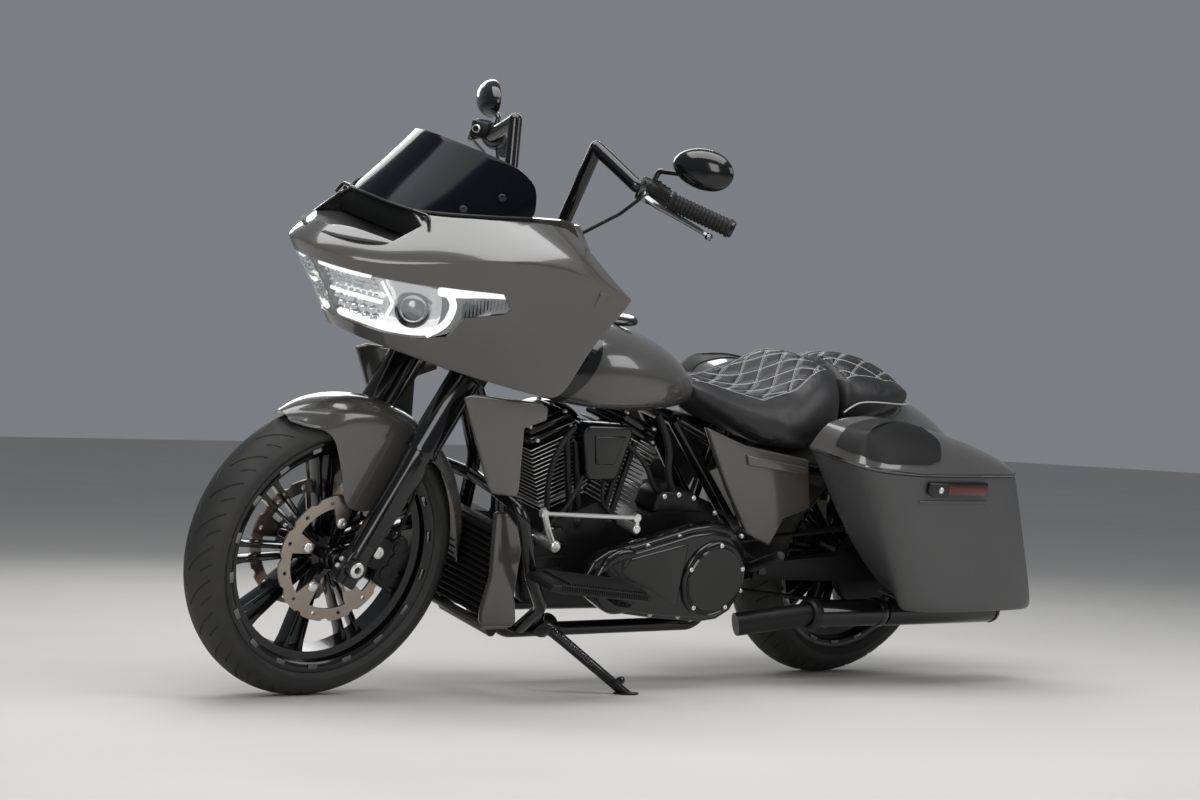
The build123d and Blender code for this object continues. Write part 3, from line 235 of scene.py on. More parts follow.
lamp_light = Finish("lamp_strip", "lamp", (0.85, 0.86, 0.84), 0.3, Emission_Color=(1, 0.99, 0.95, 1),
                    Emission_Strength=0.9)
lamp_light.roughen(lamp_light.noise(60), 0.2, 0.4)
reflector = Finish("lamp_reflector", "lamp", (0.75, 0.76, 0.78), 0.1, Metallic=1.0)
reflector.emboss(reflector.cells(90), 0.001, 0.8)
red_lens = Finish("red_lens", "red_lens", (0.09, 0.004, 0.005), 0.16, Coat_Weight=0.4)
red_lens.emboss(red_lens.cells(260), 0.0006, 0.8)
white_plate = Finish("blank_plate", "plastic", (0.62, 0.62, 0.60), 0.45)
white_plate.roughen(white_plate.noise(60), 0.4, 0.55)


# ======== Modelling helpers ========

def pick_up():
    """Leaves edit mode and deselects everything, ready for the next primitive."""
    if bpy.context.object and bpy.context.object.mode != "OBJECT":
        bpy.ops.object.mode_set(mode="OBJECT")
    bpy.ops.object.select_all(action="DESELECT")


def hold(piece):
    pick_up()
    piece.select_set(True)
    bpy.context.view_layer.objects.active = piece
    return piece


def modify(piece, kind, **settings):
    """Adds a modifier and applies it."""
    hold(piece)
    modifier = piece.modifiers.new(kind.title(), kind)
    for key, value in settings.items():
        setattr(modifier, key, value)
    bpy.ops.object.modifier_apply(modifier=modifier.name)
    return piece


def edit(piece, *steps):
    """Runs edit-mode operators on the whole mesh, each given as (operator, settings)."""
    hold(piece)
    bpy.ops.object.mode_set(mode="EDIT")
    bpy.ops.mesh.select_all(action="SELECT")
    for operator, settings in steps:
        operator(**settings)
    bpy.ops.object.mode_set(mode="OBJECT")
    return piece


MERGE = (bpy.ops.mesh.remove_doubles, {"threshold": 0.01})
OUTWARD = (bpy.ops.mesh.normals_make_consistent, {"inside": False})


def place_points(piece, points):
    """Pulls a fresh primitive's vertices to their places."""
    piece.data.vertices.foreach_set("co", [c for p in points for c in p])
    piece.data.update()
    return piece


def sheet(rows, levels=2, wall=0, closed=False, crease_rows=(), crease_lines=()):
    """A skin pulled over rows of points. closed joins the last point of each row to the first."""
    pick_up()
    rows = [list(row) + ([row[0]] if closed else []) for row in rows]
    across = len(rows[0])
    bpy.ops.mesh.primitive_grid_add(x_subdivisions=across - 1, y_subdivisions=len(rows) - 1)
    piece = place_points(bpy.context.object, [p for row in rows for p in row])
    if crease_rows or crease_lines:
        sharp = piece.data.attributes.new("crease_edge", "FLOAT", "EDGE")
        for edge in piece.data.edges:
            (r0, c0), (r1, c1) = (divmod(v, across) for v in edge.vertices)
            if (r0 == r1 and r0 in crease_rows) or (c0 == c1 and c0 in crease_lines):
                sharp.data[edge.index].value = 0.85
    edit(piece, MERGE, OUTWARD)
    if levels:
        modify(piece, "SUBSURF", levels=levels, render_levels=levels)
    if wall:
        modify(piece, "SOLIDIFY", thickness=wall, offset=-1)
    return piece


def slab(outline, near, far, bevel=0, segments=2):
    """A side-view outline (X, Z) filled from width near to width far."""
    pick_up()
    bpy.ops.mesh.primitive_circle_add(vertices=len(outline), fill_type="NGON")
    piece = place_points(bpy.context.object, [(x, near, z) for x, z in outline])
    push = {"TRANSFORM_OT_translate": {"value": (0, far - near, 0)}}
    edit(piece, (bpy.ops.mesh.extrude_region_move, push))
    edit(piece, OUTWARD)
    if bevel:
        modify(piece, "BEVEL", width=bevel, segments=segments, limit_method="ANGLE", angle_limit=0.5)
    return piece


def turned(profile, centre, axis=ACROSS, steps=64, bevel=0):
    """A closed profile of (along, radius) points, spun round an axis through centre."""
    pick_up()
    bpy.ops.mesh.primitive_circle_add(vertices=len(profile), fill_type="NOTHING")
    piece = place_points(bpy.context.object, [(radius, 0, along) for along, radius in profile])
    spin = {"steps": steps, "angle": math.tau, "center": (0, 0, 0), "axis": (0, 0, 1)}
    edit(piece, (bpy.ops.mesh.spin, spin), MERGE, OUTWARD)
    if bevel:
        modify(piece, "BEVEL", width=bevel, segments=2, limit_method="ANGLE", angle_limit=0.6)
    turn = Vector((0, 0, 1)).rotation_difference(Vector(axis)).to_matrix().to_4x4()
    piece.data.transform(Matrix.Translation(Vector(centre)) @ turn)
    return piece


def rounded(points, radius, steps=6):
    """Points along straight runs whose corners are turned with arcs."""
    points = [Vector(p) for p in points]
    line = [points[0]]
    for before, corner, after in zip(points, points[1:], points[2:]):
        back, ahead = (before - corner), (after - corner)
        reach = min(radius, back.length * 0.48, ahead.length * 0.48)
        start, stop = corner + back.normalized() * reach, corner + ahead.normalized() * reach
        for step in range(steps + 1):
            t = step / steps
            line.append(start.lerp(corner, t).lerp(corner.lerp(stop, t), t))
    return [*line, points[-1]]


def rods(lines, radius, sides, capped_ends=True, smooth=False, taper=None):
    """Round bars along lines of points, as one mesh; smooth ones are pulled to their points by a spline."""
    curve = bpy.data.curves.new("route", "CURVE")
    curve.dimensions, curve.bevel_depth, curve.bevel_resolution = "3D", radius, sides
    curve.use_fill_caps = capped_ends
    for line in lines:
        spline = curve.splines.new("NURBS" if smooth else "POLY")
        spline.points.add(len(line) - 1)
        for index, (point, place) in enumerate(zip(spline.points, line)):
            point.co = (*place, 1)
            if taper:
                point.radius = taper(index / (len(line) - 1))
        if smooth:
            curve.resolution_u, spline.order_u, spline.use_endpoint_u = 8, 3, True
    piece = bpy.data.objects.new("route", curve)
    bpy.context.collection.objects.link(piece)
    hold(piece)
    bpy.ops.object.convert(target="MESH")
    return bpy.context.object


def tube(points, radius, bend=0, sides=4, taper=None):
    """A round bar along points, its corners turned at radius bend."""
    line = rounded(points, bend) if bend else [Vector(p) for p in points]
    return rods([line], radius, sides, taper=taper)


def hose(points, radius, sides=4):
    return rods([points], radius, sides, smooth=True)


def wires(lines, radius, sides=1):
    """Many thin rods as one mesh, open at their ends."""
    return rods(lines, radius, sides, capped_ends=False)


def box(size, bevel, segments, matrix=None, **settings):
    """A block with rounded edges, moved by matrix."""
    pick_up()
    bpy.ops.mesh.primitive_cube_add(size=1)
    piece = bpy.context.object
    piece.data.transform(Matrix.Diagonal((*size, 1)))
    modify(piece, "BEVEL", width=bevel, segments=segments, **settings)
    if matrix:
        piece.data.transform(matrix)
    return piece


def cut(piece, cutter, operation="DIFFERENCE", **settings):
    """Cuts piece with cutter, or keeps what both share, and clears the cutter away."""
    modify(piece, "BOOLEAN", operation=operation, object=cutter, solver="EXACT", **settings)
    bpy.data.objects.remove(cutter)
    return piece


def join(*pieces):
    """Several meshes made one."""
    hold(pieces[0])
    for piece in pieces:
        piece.select_set(True)
    bpy.ops.object.join()
    return bpy.context.object


def twin(piece, matrix):
    """A copy with its own mesh, moved by matrix."""
    copy = piece.copy()
    copy.data = piece.data.copy()
    copy.data.transform(matrix)
    bpy.context.collection.objects.link(copy)
    if matrix.determinant() < 0:
        edit(copy, OUTWARD)
    return copy


def both_sides(piece):
    """The piece and its mirror image on the right."""
    return join(piece, twin(piece, Matrix.Scale(-1, 4, ACROSS)))


def array(piece, *matrices):
    """One piece repeated by each matrix; the first is itself."""
    made = [twin(piece, matrix) for matrix in matrices]
    bpy.data.objects.remove(piece)
    return join(*made)


def facing(place, axis):
    """A matrix that stands a piece drawn on Z at place, along axis."""
    turn = Vector((0, 0, 1)).rotation_difference(Vector(axis)).to_matrix().to_4x4()
    return Matrix.Translation(Vector(place)) @ turn


def fit(piece, name, finish, *nodes, body="chassis", slot=None, smooth=35):
    """Parks a finished piece in the shared frame, dresses it and sets it on its body.

    nodes are the CAD nodes that it stands for.
    """
    hold(piece)
    piece.data.transform(PARKED @ piece.matrix_world)
    piece.matrix_world = Matrix.Identity(4)
    bpy.ops.object.shade_smooth_by_angle(angle=math.radians(smooth))
    piece.name = piece.data.name = name
    piece.data.materials.clear()
    piece.data.materials.append(finish.material)
    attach(piece, body)
    if nodes:
        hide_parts(*nodes)
    return piece


def bolt(place, axis, radius=6, height=5):
    """A socket-head bolt standing on place along axis."""
    inner = 0.5 * radius
    profile = [(0, 0), (0, radius), (0.75 * height, radius), (height, 0.82 * radius), (height, inner),
               (0.5 * height, inner), (0.5 * height, 0)]
    return turned(profile, place, axis, steps=14)


# ======== Camera, light and floor ========

def softbox(name, place, target, size, power):
    light = bpy.data.lights.new(name, "AREA")
    light.shape, light.size, light.size_y, light.energy = "RECTANGLE", size[0], size[1], power
    lamp = bpy.data.objects.new(name, light)
    lamp.location = place
    lamp.rotation_euler = (Vector(target) - Vector(place)).to_track_quat("-Z", "Y").to_euler()
    bpy.context.collection.objects.link(lamp)


softbox("top_softbox", (0.6, 0.4, 3.6), (0, 0, 0.4), (3.6, 2.6), 125)
softbox("front_softbox", (3.4, 2.6, 2.2), (0.2, 0, 0.6), (1.8, 2.4), 60)
softbox("side_softbox", (-2.2, 3.6, 2.4), (-0.3, 0, 0.5), (2.2, 2.2), 48)
softbox("rim_softbox", (-1.4, -3.2, 2.6), (0, 0, 0.7), (3.0, 1.6), 50)

pick_up()
bpy.ops.mesh.primitive_grid_add(x_subdivisions=8, y_subdivisions=8, size=40, location=(0, 0, 0))
floor = bpy.context.object
floor.name = "studio_floor"
floor_finish = Finish("studio_floor", None, (0.60, 0.585, 0.56), 0.85)
floor_finish.tint(floor_finish.ramp(floor_finish.noise(1.5, 5), (0.3, 0), (0.8, 0.5)), (0.53, 0.52, 0.50))
floor.data.materials.append(floor_finish.material)
floor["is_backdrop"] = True

world = bpy.data.worlds.new("studio")
bpy.context.scene.world = world
world.use_nodes = True
backdrop = world.node_tree.nodes["Background"]
backdrop.inputs["Color"].default_value = (0.20, 0.21, 0.225, 1)
backdrop.inputs["Strength"].default_value = 1.0

view = bpy.data.cameras.new("camera")
view.lens, view.sensor_width = 90, 36
view.clip_start, view.clip_end = 0.1, 100
camera = bpy.data.objects.new("camera", view)
bpy.context.collection.objects.link(camera)
bpy.context.scene.camera = camera
# The camera's axes and place come from the wheels and mirrored features of the real bike.
CAMERA_PLACE = (4.72451, 5.51795, 0.74620)
CAMERA_RIGHT, CAMERA_UP, CAMERA_BACK = (
    (-0.77170, 0.63493, 0.03667),
    (0.02401, -0.02853, 0.99930),
    (0.63554, 0.77204, 0.00677),
)
columns = Matrix((CAMERA_RIGHT, CAMERA_UP, CAMERA_BACK)).transposed()
camera.matrix_world = Matrix.Translation(CAMERA_PLACE) @ columns.to_4x4()

bpy.context.scene.view_settings.view_transform = "Standard"

# ======== CAD nodes that stay, and their finishes ========

DRESSED = {
    black_gloss: "frame handlebar engine_guard fork_legs",
    black_satin: "engine_case swingarm rear_caliper triple_clamps side_stand rear_pulley",
    body_paint: "inner_fairing rear_fender",
    # Painted shade: vent_duct, the ramp inside the vent, is dressed in black plastic to stand for the shadow
    # it lies in.
    black_plastic: "vent_duct",
    bright_steel: "front_axle rear_axle",
    disc_steel: "front_discs rear_disc",
    soft_rubber: "drive_belt brake_lines control_lines",
}
for finish, names in DRESSED.items():
    for name in names.split():
        node = frame["nodes"][name]
        node.data.materials.clear()
        node.data.materials.append(finish.material)

# ======== Fairing and screen ========

# Each row runs from the nose back along one flank: X, half width, height.
FAIRING_ROWS = [
    [(1697, 0, 868), (1672, 62, 862), (1632, 118, 852), (1560, 180, 838), (1470, 228, 820),
     (1370, 262, 802), (1300, 278, 792), (1254, 284, 786)],
    [(1724, 0, 905), (1700, 70, 900), (1655, 130, 892), (1582, 198, 884), (1484, 250, 874),
     (1378, 286, 862), (1300, 302, 852), (1240, 308, 846)],
    [(1775, 0, 975), (1748, 84, 968), (1690, 158, 962), (1604, 228, 960), (1498, 286, 958),
     (1386, 324, 952), (1304, 344, 944), (1244, 352, 930)],
    [(1822, 0, 1040), (1792, 92, 1032), (1728, 168, 1032), (1636, 246, 1050), (1524, 304, 1070),
     (1398, 350, 1072), (1306, 380, 1056), (1212, 398, 1020)],
    [(1836, 0, 1062), (1804, 92, 1050), (1736, 170, 1046), (1642, 250, 1072), (1528, 312, 1098),
     (1398, 352, 1112), (1304, 384, 1096), (1200, 404, 1052)],
    [(1822, 0, 1078), (1790, 92, 1072), (1724, 168, 1068), (1632, 240, 1096), (1520, 296, 1118),
     (1398, 332, 1134), (1308, 352, 1126), (1226, 372, 1080)],
    [(1752, 0, 1126), (1738, 60, 1122), (1700, 136, 1104), (1614, 208, 1132), (1508, 262, 1152),
     (1396, 292, 1160), (1312, 306, 1154), (1262, 322, 1128)],
    [(1672, 0, 1170), (1664, 58, 1168), (1636, 132, 1158), (1576, 190, 1166), (1494, 232, 1176),
     (1396, 252, 1182), (1320, 258, 1178), (1280, 262, 1168)],
]


def whole_row(row):
    """A flank's row and its mirror image, from the left rear round the nose to the right rear."""
    left = [(x, y, z) for x, y, z in reversed(row)]
    return left + [(x, -y, z) for x, y, z in row[1:]]


def on_skin(column, height, inset=0):
    """A point behind the fairing's face: column runs from the nose (0) back, negative on the right."""
    side, column = (1 if column >= 0 else -1), abs(column)
    near = min(int(column), 6)
    rows = []
    for row in FAIRING_ROWS[:5]:
        a, b = Vector(row[near]), Vector(row[near + 1])
        rows.append(a.lerp(b, column - near))
    for low, high in zip(rows, rows[1:]):
        if height <= high.z or high is rows[-1]:
            break
    place = low.lerp(high, (height - low.z) / (high.z - low.z))
    ahead = Vector(FAIRING_ROWS[2][near + 1]) - Vector(FAIRING_ROWS[2][near])
    inward = Vector((ahead.y, -ahead.x, 0)).normalized()
    if inward.x > 0:
        inward = -inward
    place = place + Vector((inward.x, -abs(inward.y), 0)) * inset
    return Vector((place.x, side * place.y, height))


LAMP_OUTLINE = [(1850, 1026), (1850, 898), (1709, 896), (1655, 887), (1591, 891), (1552, 908), (1540, 958),
                (1460, 982), (1454, 995), (1466, 1008), (1480, 1028), (1563, 1024), (1640, 1021),
                (1708, 1019)]
VENT_FLOOR = 1080
VENT_OUTLINE = [(1630, -168), (1692, -158), (1776, -22), (1776, 22), (1692, 158), (1630, 168)]

fairing = sheet([whole_row(row) for row in FAIRING_ROWS], levels=3, crease_rows=(4,))
lamp_cut = slab(LAMP_OUTLINE, -450, 450)
vent_cut = slab(VENT_OUTLINE, 0, 150)
vent_cut.data.transform(Matrix(((1, 0, 0, 0), (0, 0, 1, 0), (0, 1, 0, VENT_FLOOR), (0, 0, 0, 1))))
edit(vent_cut, OUTWARD)
modify(fairing, "SOLIDIFY", thickness=4, offset=-1)
cut(fairing, lamp_cut)
cut(fairing, vent_cut)
modify(fairing, "BEVEL", width=1.2, segments=2, limit_method="ANGLE", angle_limit=0.9)
fit(fairing, "fairing_shell", body_paint, "main_fairing")

SHIELD_ROWS = [
    [(1664, 0, 1166), (1655, 70, 1163), (1628, 130, 1160), (1568, 184, 1168), (1486, 226, 1177),
     (1392, 246, 1184)],
    [(1634, 0, 1196), (1624, 70, 1193), (1598, 130, 1190), (1540, 184, 1194), (1470, 226, 1202),
     (1390, 248, 1204)],
    [(1576, 0, 1252), (1566, 68, 1249), (1542, 126, 1245), (1498, 178, 1243), (1446, 220, 1243),
     (1392, 246, 1240)],
    [(1512, 0, 1320), (1504, 62, 1317), (1482, 116, 1311), (1452, 170, 1302), (1422, 208, 1290),
     (1398, 236, 1266)],
]
shield = sheet([whole_row(row) for row in SHIELD_ROWS], levels=3, wall=4)
modify(shield, "BEVEL", width=1.5, segments=2, limit_method="ANGLE", angle_limit=0.9)
screws = []
for x, y, z in ((1600, 70, 1200), (1546, 192, 1190), (1470, 226, 1228)):
    for side in SIDES:
        _, spot, normal, _ = shield.closest_point_on_mesh(Vector((x, side * y, z)))
        screws.append(turned([(0, 0), (0, 9), (2.5, 9), (4, 7), (4, 3.4), (2, 3.4), (2, 0)], spot, normal,
                             steps=20))
fit(join(*screws), "screen_screws", black_satin, slot="plastic")
rim = [Vector(p) for p in whole_row(SHIELD_ROWS[0])]
fit(tube([p + Vector((2, 0, 4)) for p in rim], 4, bend=30, sides=3), "screen_rim", black_plastic)
fit(shield, "screen", smoke, "windshield")

# The air vent under the screen: its raised frame, and a throat of black plastic that is painted shade,
# standing for the shadow deep inside the opening.
frame_line = [(1624, 186, 1139), (1618, 172, 1163), (1632, 120, 1164), (1650, 0, 1168)]
frame_line = frame_line + [(x, -y, z) for x, y, z in reversed(frame_line[:-1])]
fit(tube(frame_line, 4, bend=16), "vent_frame", black_gloss)
# Painted shade: this black block fills the back of the vent where the recess lies in shadow.
throat = slab([(1596, 1103), (1628, 1103), (1626, 1158), (1596, 1156)], -160, 160, bevel=3)
fit(throat, "vent_throat_shade", black_plastic)

# ======== Headlight ========

LAMP_COLUMNS = [0, 0.5, 1, 1.5, 2, 2.5, 3, 3.5, 4, 4.35, 4.7]
LAMP_TOP = [1022, 1020, 1018, 1018, 1019, 1019, 1020, 1021, 1022, 1024, 1022]
LAMP_LOW = [898, 899, 899, 893, 890, 891, 898, 925, 978, 984, 990]


def lamp_edge(values, column):
    """Height of a lamp edge at a column, between the measured ones."""
    column = abs(column)
    for (a, low), (b, high) in zip(zip(LAMP_COLUMNS, values), zip(LAMP_COLUMNS[1:], values[1:])):
        if column <= b:
            return low + (high - low) * (column - a) / (b - a)
    return values[-1]


def lamp_sheet(columns, top, low, inset, wall=2.5):
    """A band behind the fairing's face; top and low give its edges, 0 at the lamp's foot and 1 at its top."""
    rows = []
    for share in (low, (low + top) / 2, top):
        row = []
        for c in columns:
            foot, head = lamp_edge(LAMP_LOW, c), lamp_edge(LAMP_TOP, c)
            row.append(on_skin(c, foot + (head - foot) * share, inset))
        rows.append(row)
    return sheet(rows, levels=2, wall=wall)


whole = [-c for c in reversed(LAMP_COLUMNS[1:])] + LAMP_COLUMNS
LENS_DEPTH, WALL_DEPTH, BOWL_DEPTH = 4, 34, 26
fit(lamp_sheet(whole, 1.03, -0.03, LENS_DEPTH), "lamp_lens", clear_lens, "headlight")
fit(lamp_sheet(whole, 1.03, -0.03, WALL_DEPTH), "lamp_wall", black_satin, slot="plastic")
bowl = [lamp_sheet([s * c for c in (0.45, 0.9, 1.35, 1.8, 2.3, 2.8, 3.2)], 0.95, 0.08, BOWL_DEPTH)
        for s in SIDES]
fit(join(*bowl), "lamp_reflectors", reflector)
strips = []
for s in SIDES:
    strips.append(lamp_sheet([s * c for c in (0.35, 0.8, 1.3, 1.8, 2.3, 2.8, 3.2)], 0.13, 0.0, 9, 8))
    strips.append(lamp_sheet([s * c for c in (0.4, 0.8, 1.2, 1.6, 1.95)], 0.55, 0.49, 12, 6))
    strips.append(lamp_sheet([s * c for c in (0.35, 0.8, 1.3, 1.8)], 1.0, 0.93, 9, 6))
    strips.append(tube([on_skin(s * 2.95, 903, 10), on_skin(s * 3.3, 935, 10), on_skin(s * 3.42, 985, 10),
                        on_skin(s * 3.25, 1016, 10)], 8, bend=20, sides=3))
    strips.append(lamp_sheet([s * c for c in (3.1, 3.5, 3.9, 4.3, 4.62)], 1.0, 0.8, 8, 6))
    strips.append(tube([on_skin(s * 2.05, 1008, 14), on_skin(s * 2.2, 960, 14), on_skin(s * 1.95, 915, 14)],
                       3.5, bend=15, sides=3))
fit(join(*strips), "lamp_strips", lamp_light)
chips = []
pick_up()
bpy.ops.mesh.primitive_cube_add(size=1)
chip = edit(bpy.context.object,
            (bpy.ops.mesh.bevel, {"offset": 0.18, "offset_type": "OFFSET", "affect": "EDGES"}))
for s in SIDES:
    # Small chips above and larger ones below: rows, columns, first column, pitch, stagger, height,
    # drop, inset and size.
    for rows, columns, first, pitch, stagger, top, drop, inset, size in (
            (4, 9, 0.5, 0.155, 0.02, 1005, 11, 16, (6, 9, 7)),
            (3, 5, 0.55, 0.26, 0.03, 950, 18, 20, (9, 17, 13))):
        for row in range(rows):
            for step in range(columns):
                place = on_skin(s * (first + pitch * step + stagger * row), top - drop * row, inset)
                turn = Matrix.Rotation(s * 1.0, 4, "Z")
                chips.append(Matrix.Translation(place) @ turn @ Matrix.Diagonal((*size, 1)))
fit(array(chip, *chips), "lamp_chips", reflector)
rings = []
for s in SIDES:
    centre = on_skin(s * 2.6, 956, 12)
    outward = Vector((0.62, s * 0.78, 0.08)).normalized()
    rings.append(turned([(-18, 33), (-16, 40), (2, 40), (6, 36), (2, 32), (-14, 29)], centre, outward, 40))
    rings.append(turned([(-20, 0), (-20, 25), (-4, 25), (0, 20), (2, 10), (3, 0)], centre, outward, 32))
fit(join(*rings), "lamp_projectors", dark_chrome, slot="lamp")
signals = []
ribs = []
for s in SIDES:
    signals.append(lamp_sheet([s * c for c in (3.55, 3.9, 4.3, 4.66)], 0.74, 0.12, 7, 6))
    for step in range(16):
        column = s * (3.62 + 0.065 * step)
        foot, head = lamp_edge(LAMP_LOW, column), lamp_edge(LAMP_TOP, column)
        low, high = foot + 0.16 * (head - foot), foot + 0.7 * (head - foot)
        ribs.append(tube([on_skin(column, low, 6), on_skin(column, high, 6)], 1.4, sides=1))
fit(join(*signals, *ribs), "turn_signals", smoke)

# ======== Seat and pillion ========

def cushion_ring(x, half, bottom, low, side, edge_y, edge_z, top):
    """One cross-section of a cushion: its left half from the bottom to the top, and the mirror image."""
    left = [(0, bottom), (0.6 * half, bottom), (0.9 * half, low), (half, low + 0.45 * (side - low)),
            (half, side), (0.94 * half, side + 0.55 * (edge_z - side)),
            (edge_y + 0.35 * (half - edge_y), edge_z - 0.1 * (edge_z - side)),
            (edge_y, edge_z), (0.6 * edge_y, edge_z + 0.6 * (top - edge_z)), (0, top)]
    return [(x, y, z) for y, z in left] + [(x, -y, z) for y, z in reversed(left[1:-1])]


def capped(rings):
    """Rings with both ends drawn to a point, so that the skin closes."""
    ends = []
    for ring in (rings[0], rings[-1]):
        middle = sum((Vector(p) for p in ring), Vector()) / len(ring)
        ends.append([tuple(middle)] * len(ring))
    return [ends[0], *rings, ends[1]]


def stuffed(form, cap):
    """Blows a closed form up like a stuffed cover: remeshed, pressed out as cloth and smoothed once."""
    form.data.transform(Matrix.Scale(MM, 4))
    hold(form)
    form.data.remesh_voxel_size = 0.005
    form.data.remesh_voxel_adaptivity = 0
    bpy.ops.object.voxel_remesh()
    edit(form, OUTWARD)
    rest = [v.co.copy() for v in form.data.vertices]
    cloth = form.modifiers.new("Cloth", "CLOTH")
    cloth.settings.quality = 4
    cloth.settings.use_pressure = True
    cloth.settings.uniform_pressure_force = 4
    cloth.settings.effector_weights.gravity = 0
    cloth.point_cache.frame_start, cloth.point_cache.frame_end = 1, 20
    for step in range(1, 21):
        bpy.context.scene.frame_set(step)
    hold(form)
    bpy.ops.object.modifier_apply(modifier="Cloth")
    bpy.context.scene.frame_set(1)
    for vertex, start in zip(form.data.vertices, rest):
        move = vertex.co - start
        if move.length > cap:
            vertex.co = start + move.normalized() * cap
    modify(form, "SMOOTH", factor=0.5, iterations=4)
    form.data.transform(Matrix.Scale(1 / MM, 4))
    modify(form, "SUBSURF", levels=1, render_levels=1)
    return form


def drop_on(form, x, y, lift):
    """The cushion's top at (x, y), or None past its edge."""
    hit, spot, normal, _ = form.ray_cast(Vector((x, y, 1000)), Vector((0, 0, -1)))
    return spot + normal * lift if hit and normal.z > 0.05 else None


def arc_table(rings):
    """Length along the cushion's centre line, against X."""
    tops = [Vector(ring[9]) for ring in rings]
    table = [(tops[0].x, 0.0)]
    for before, after in zip(tops, tops[1:]):
        table.append((after.x, table[-1][1] + (after - before).length))
    return table


def x_along(table, length):
    for (x0, s0), (x1, s1) in zip(table, table[1:]):
        if length <= s1:
            return x0 + (x1 - x0) * (length - s0) / (s1 - s0)
    return None


def length_at(table, x):
    for (x0, s0), (x1, s1) in zip(table, table[1:]):
        if x >= x1:
            return s0 + (s1 - s0) * (x0 - x) / (x0 - x1)
    return table[-1][1]


QUILT_LENGTH, QUILT_WIDTH = 92, 62
CHANNEL_REACH, CHANNEL_DEPTH = 11, 4.5
STITCH_SHARE = 0.8


def quilt(form, table, half_at, start, stop):
    """Presses the quilt's channels into the top and returns the lines of thread that follow them."""
    channel = form.vertex_groups.new(name="channel")
    for vertex in form.data.vertices:
        x, y, z = vertex.co
        s, half = length_at(table, x), half_at(x)
        if vertex.normal.z < 0.1 or not start < s < stop or abs(y) > half + 4:
            continue
        reach = [abs(((s / QUILT_LENGTH + turn * y / QUILT_WIDTH) + 0.5) % 1 - 0.5) * 46
                 for turn in (1, -1)]
        edge = min(abs(abs(y) - half) * 1.6, abs(s - start), abs(s - stop))
        near = min(*reach, edge)
        if near < CHANNEL_REACH:
            channel.add([vertex.index], (1 - near / CHANNEL_REACH) ** 1.5, "REPLACE")
    modify(form, "DISPLACE", strength=-CHANNEL_DEPTH, mid_level=0, vertex_group="channel",
           direction="NORMAL")
    lines = []
    for turn in (1, -1):
        for count in range(-6, 16):
            for shift in (-2.6, 2.6):
                line = []
                for step in range(-40, 41):
                    y = step * 4
                    length = QUILT_LENGTH * (count - turn * y / QUILT_WIDTH) + shift * 1.4
                    x = x_along(table, length) if start < length < stop else None
                    spot = drop_on(form, x, y, 0.3) if x is not None and abs(y) < half_at(x) else None
                    if spot is None:
                        line = []
                        continue
                    line.append(spot)
                    if len(line) == 2:
                        lines.append([line[0], line[0].lerp(line[1], STITCH_SHARE)])
                        line = [line[1]]
    border = []
    for index in range(60):
        s = start + (stop - start) * index / 59
        x = x_along(table, s)
        border.append((x, half_at(x)))
    for side in SIDES:
        for grow in (0, 5):
            spots = [drop_on(form, x, side * (y + grow), 0.3) for x, y in border]
            for before, after in zip(spots, spots[1:]):
                if before and after:
                    lines.append([before, before.lerp(after, STITCH_SHARE)])
    return lines


SEAT_RINGS = [cushion_ring(*section) for section in [
    (664, 66, 752, 754, 775, 40, 790, 794), (622, 98, 730, 732, 762, 64, 784, 776),
    (545, 146, 684, 684, 730, 104, 764, 754), (462, 174, 652, 652, 708, 128, 762, 744),
    (400, 180, 646, 646, 712, 132, 782, 760), (350, 180, 645, 645, 722, 126, 814, 808),
    (305, 176, 652, 648, 730, 112, 840, 848), (262, 168, 684, 652, 735, 100, 846, 856),
    (228, 150, 708, 690, 745, 92, 828, 842)]]
SWELL = 0.008
seat = stuffed(sheet(capped(SEAT_RINGS), levels=2, closed=True), SWELL)
seat_table = arc_table(SEAT_RINGS)


def seat_half(x):
    return 30 + 92 * min(1, max(0, (650 - x) / 170)) - 34 * min(1, max(0, (370 - x) / 130))


seat_lines = quilt(seat, seat_table, seat_half, 30, seat_table[-1][1] - 40)
THREAD = 0.9
fit(wires(seat_lines, THREAD), "seat_stitching", thread)
PILLION_RINGS = [cushion_ring(*section) for section in [
    (210, 132, 722, 702, 765, 104, 816, 846), (168, 144, 730, 700, 770, 108, 824, 858),
    (92, 142, 756, 712, 782, 104, 820, 856), (22, 128, 764, 722, 788, 96, 806, 838),
    (-36, 106, 766, 738, 784, 78, 788, 814), (-74, 70, 760, 748, 770, 48, 772, 784)]]
pillion = stuffed(sheet(capped(PILLION_RINGS), levels=2, closed=True), SWELL)
pillion_table = arc_table(PILLION_RINGS)


def pillion_half(x):
    return 102 - 50 * min(1, max(0, (60 - x) / 130))


pillion_lines = quilt(pillion, pillion_table, pillion_half, 14, pillion_table[-1][1] - 16)
fit(wires(pillion_lines, THREAD), "pillion_stitching", thread)
piping = []
for side in SIDES:
    low_edge = [(222, 149, 742), (190, 150, 766), (150, 150, 772), (90, 147, 770), (22, 133, 764),
                (-36, 110, 758), (-76, 72, 755), (-86, 0, 756)]
    piping.append(hose([(x, side * y, z) for x, y, z in low_edge], 2.2, sides=2))
fit(join(*piping), "pillion_piping", thread)
fit(seat, "rider_cushion", leather, "seat", smooth=60)
fit(pillion, "pillion_cushion", leather, "pillion", smooth=60)

# ======== Tank and side panels ========

TANK_SECTIONS = [
    # X, half width, bottom, widest, top
    (1140, 84, 742, 792, 852), (1124, 104, 734, 790, 868), (1060, 166, 729, 806, 924),
    (980, 176, 725, 808, 926), (900, 174, 723, 804, 914), (830, 164, 726, 796, 896),
    (765, 146, 730, 785, 872), (708, 116, 736, 772, 832), (682, 92, 742, 768, 808),
]


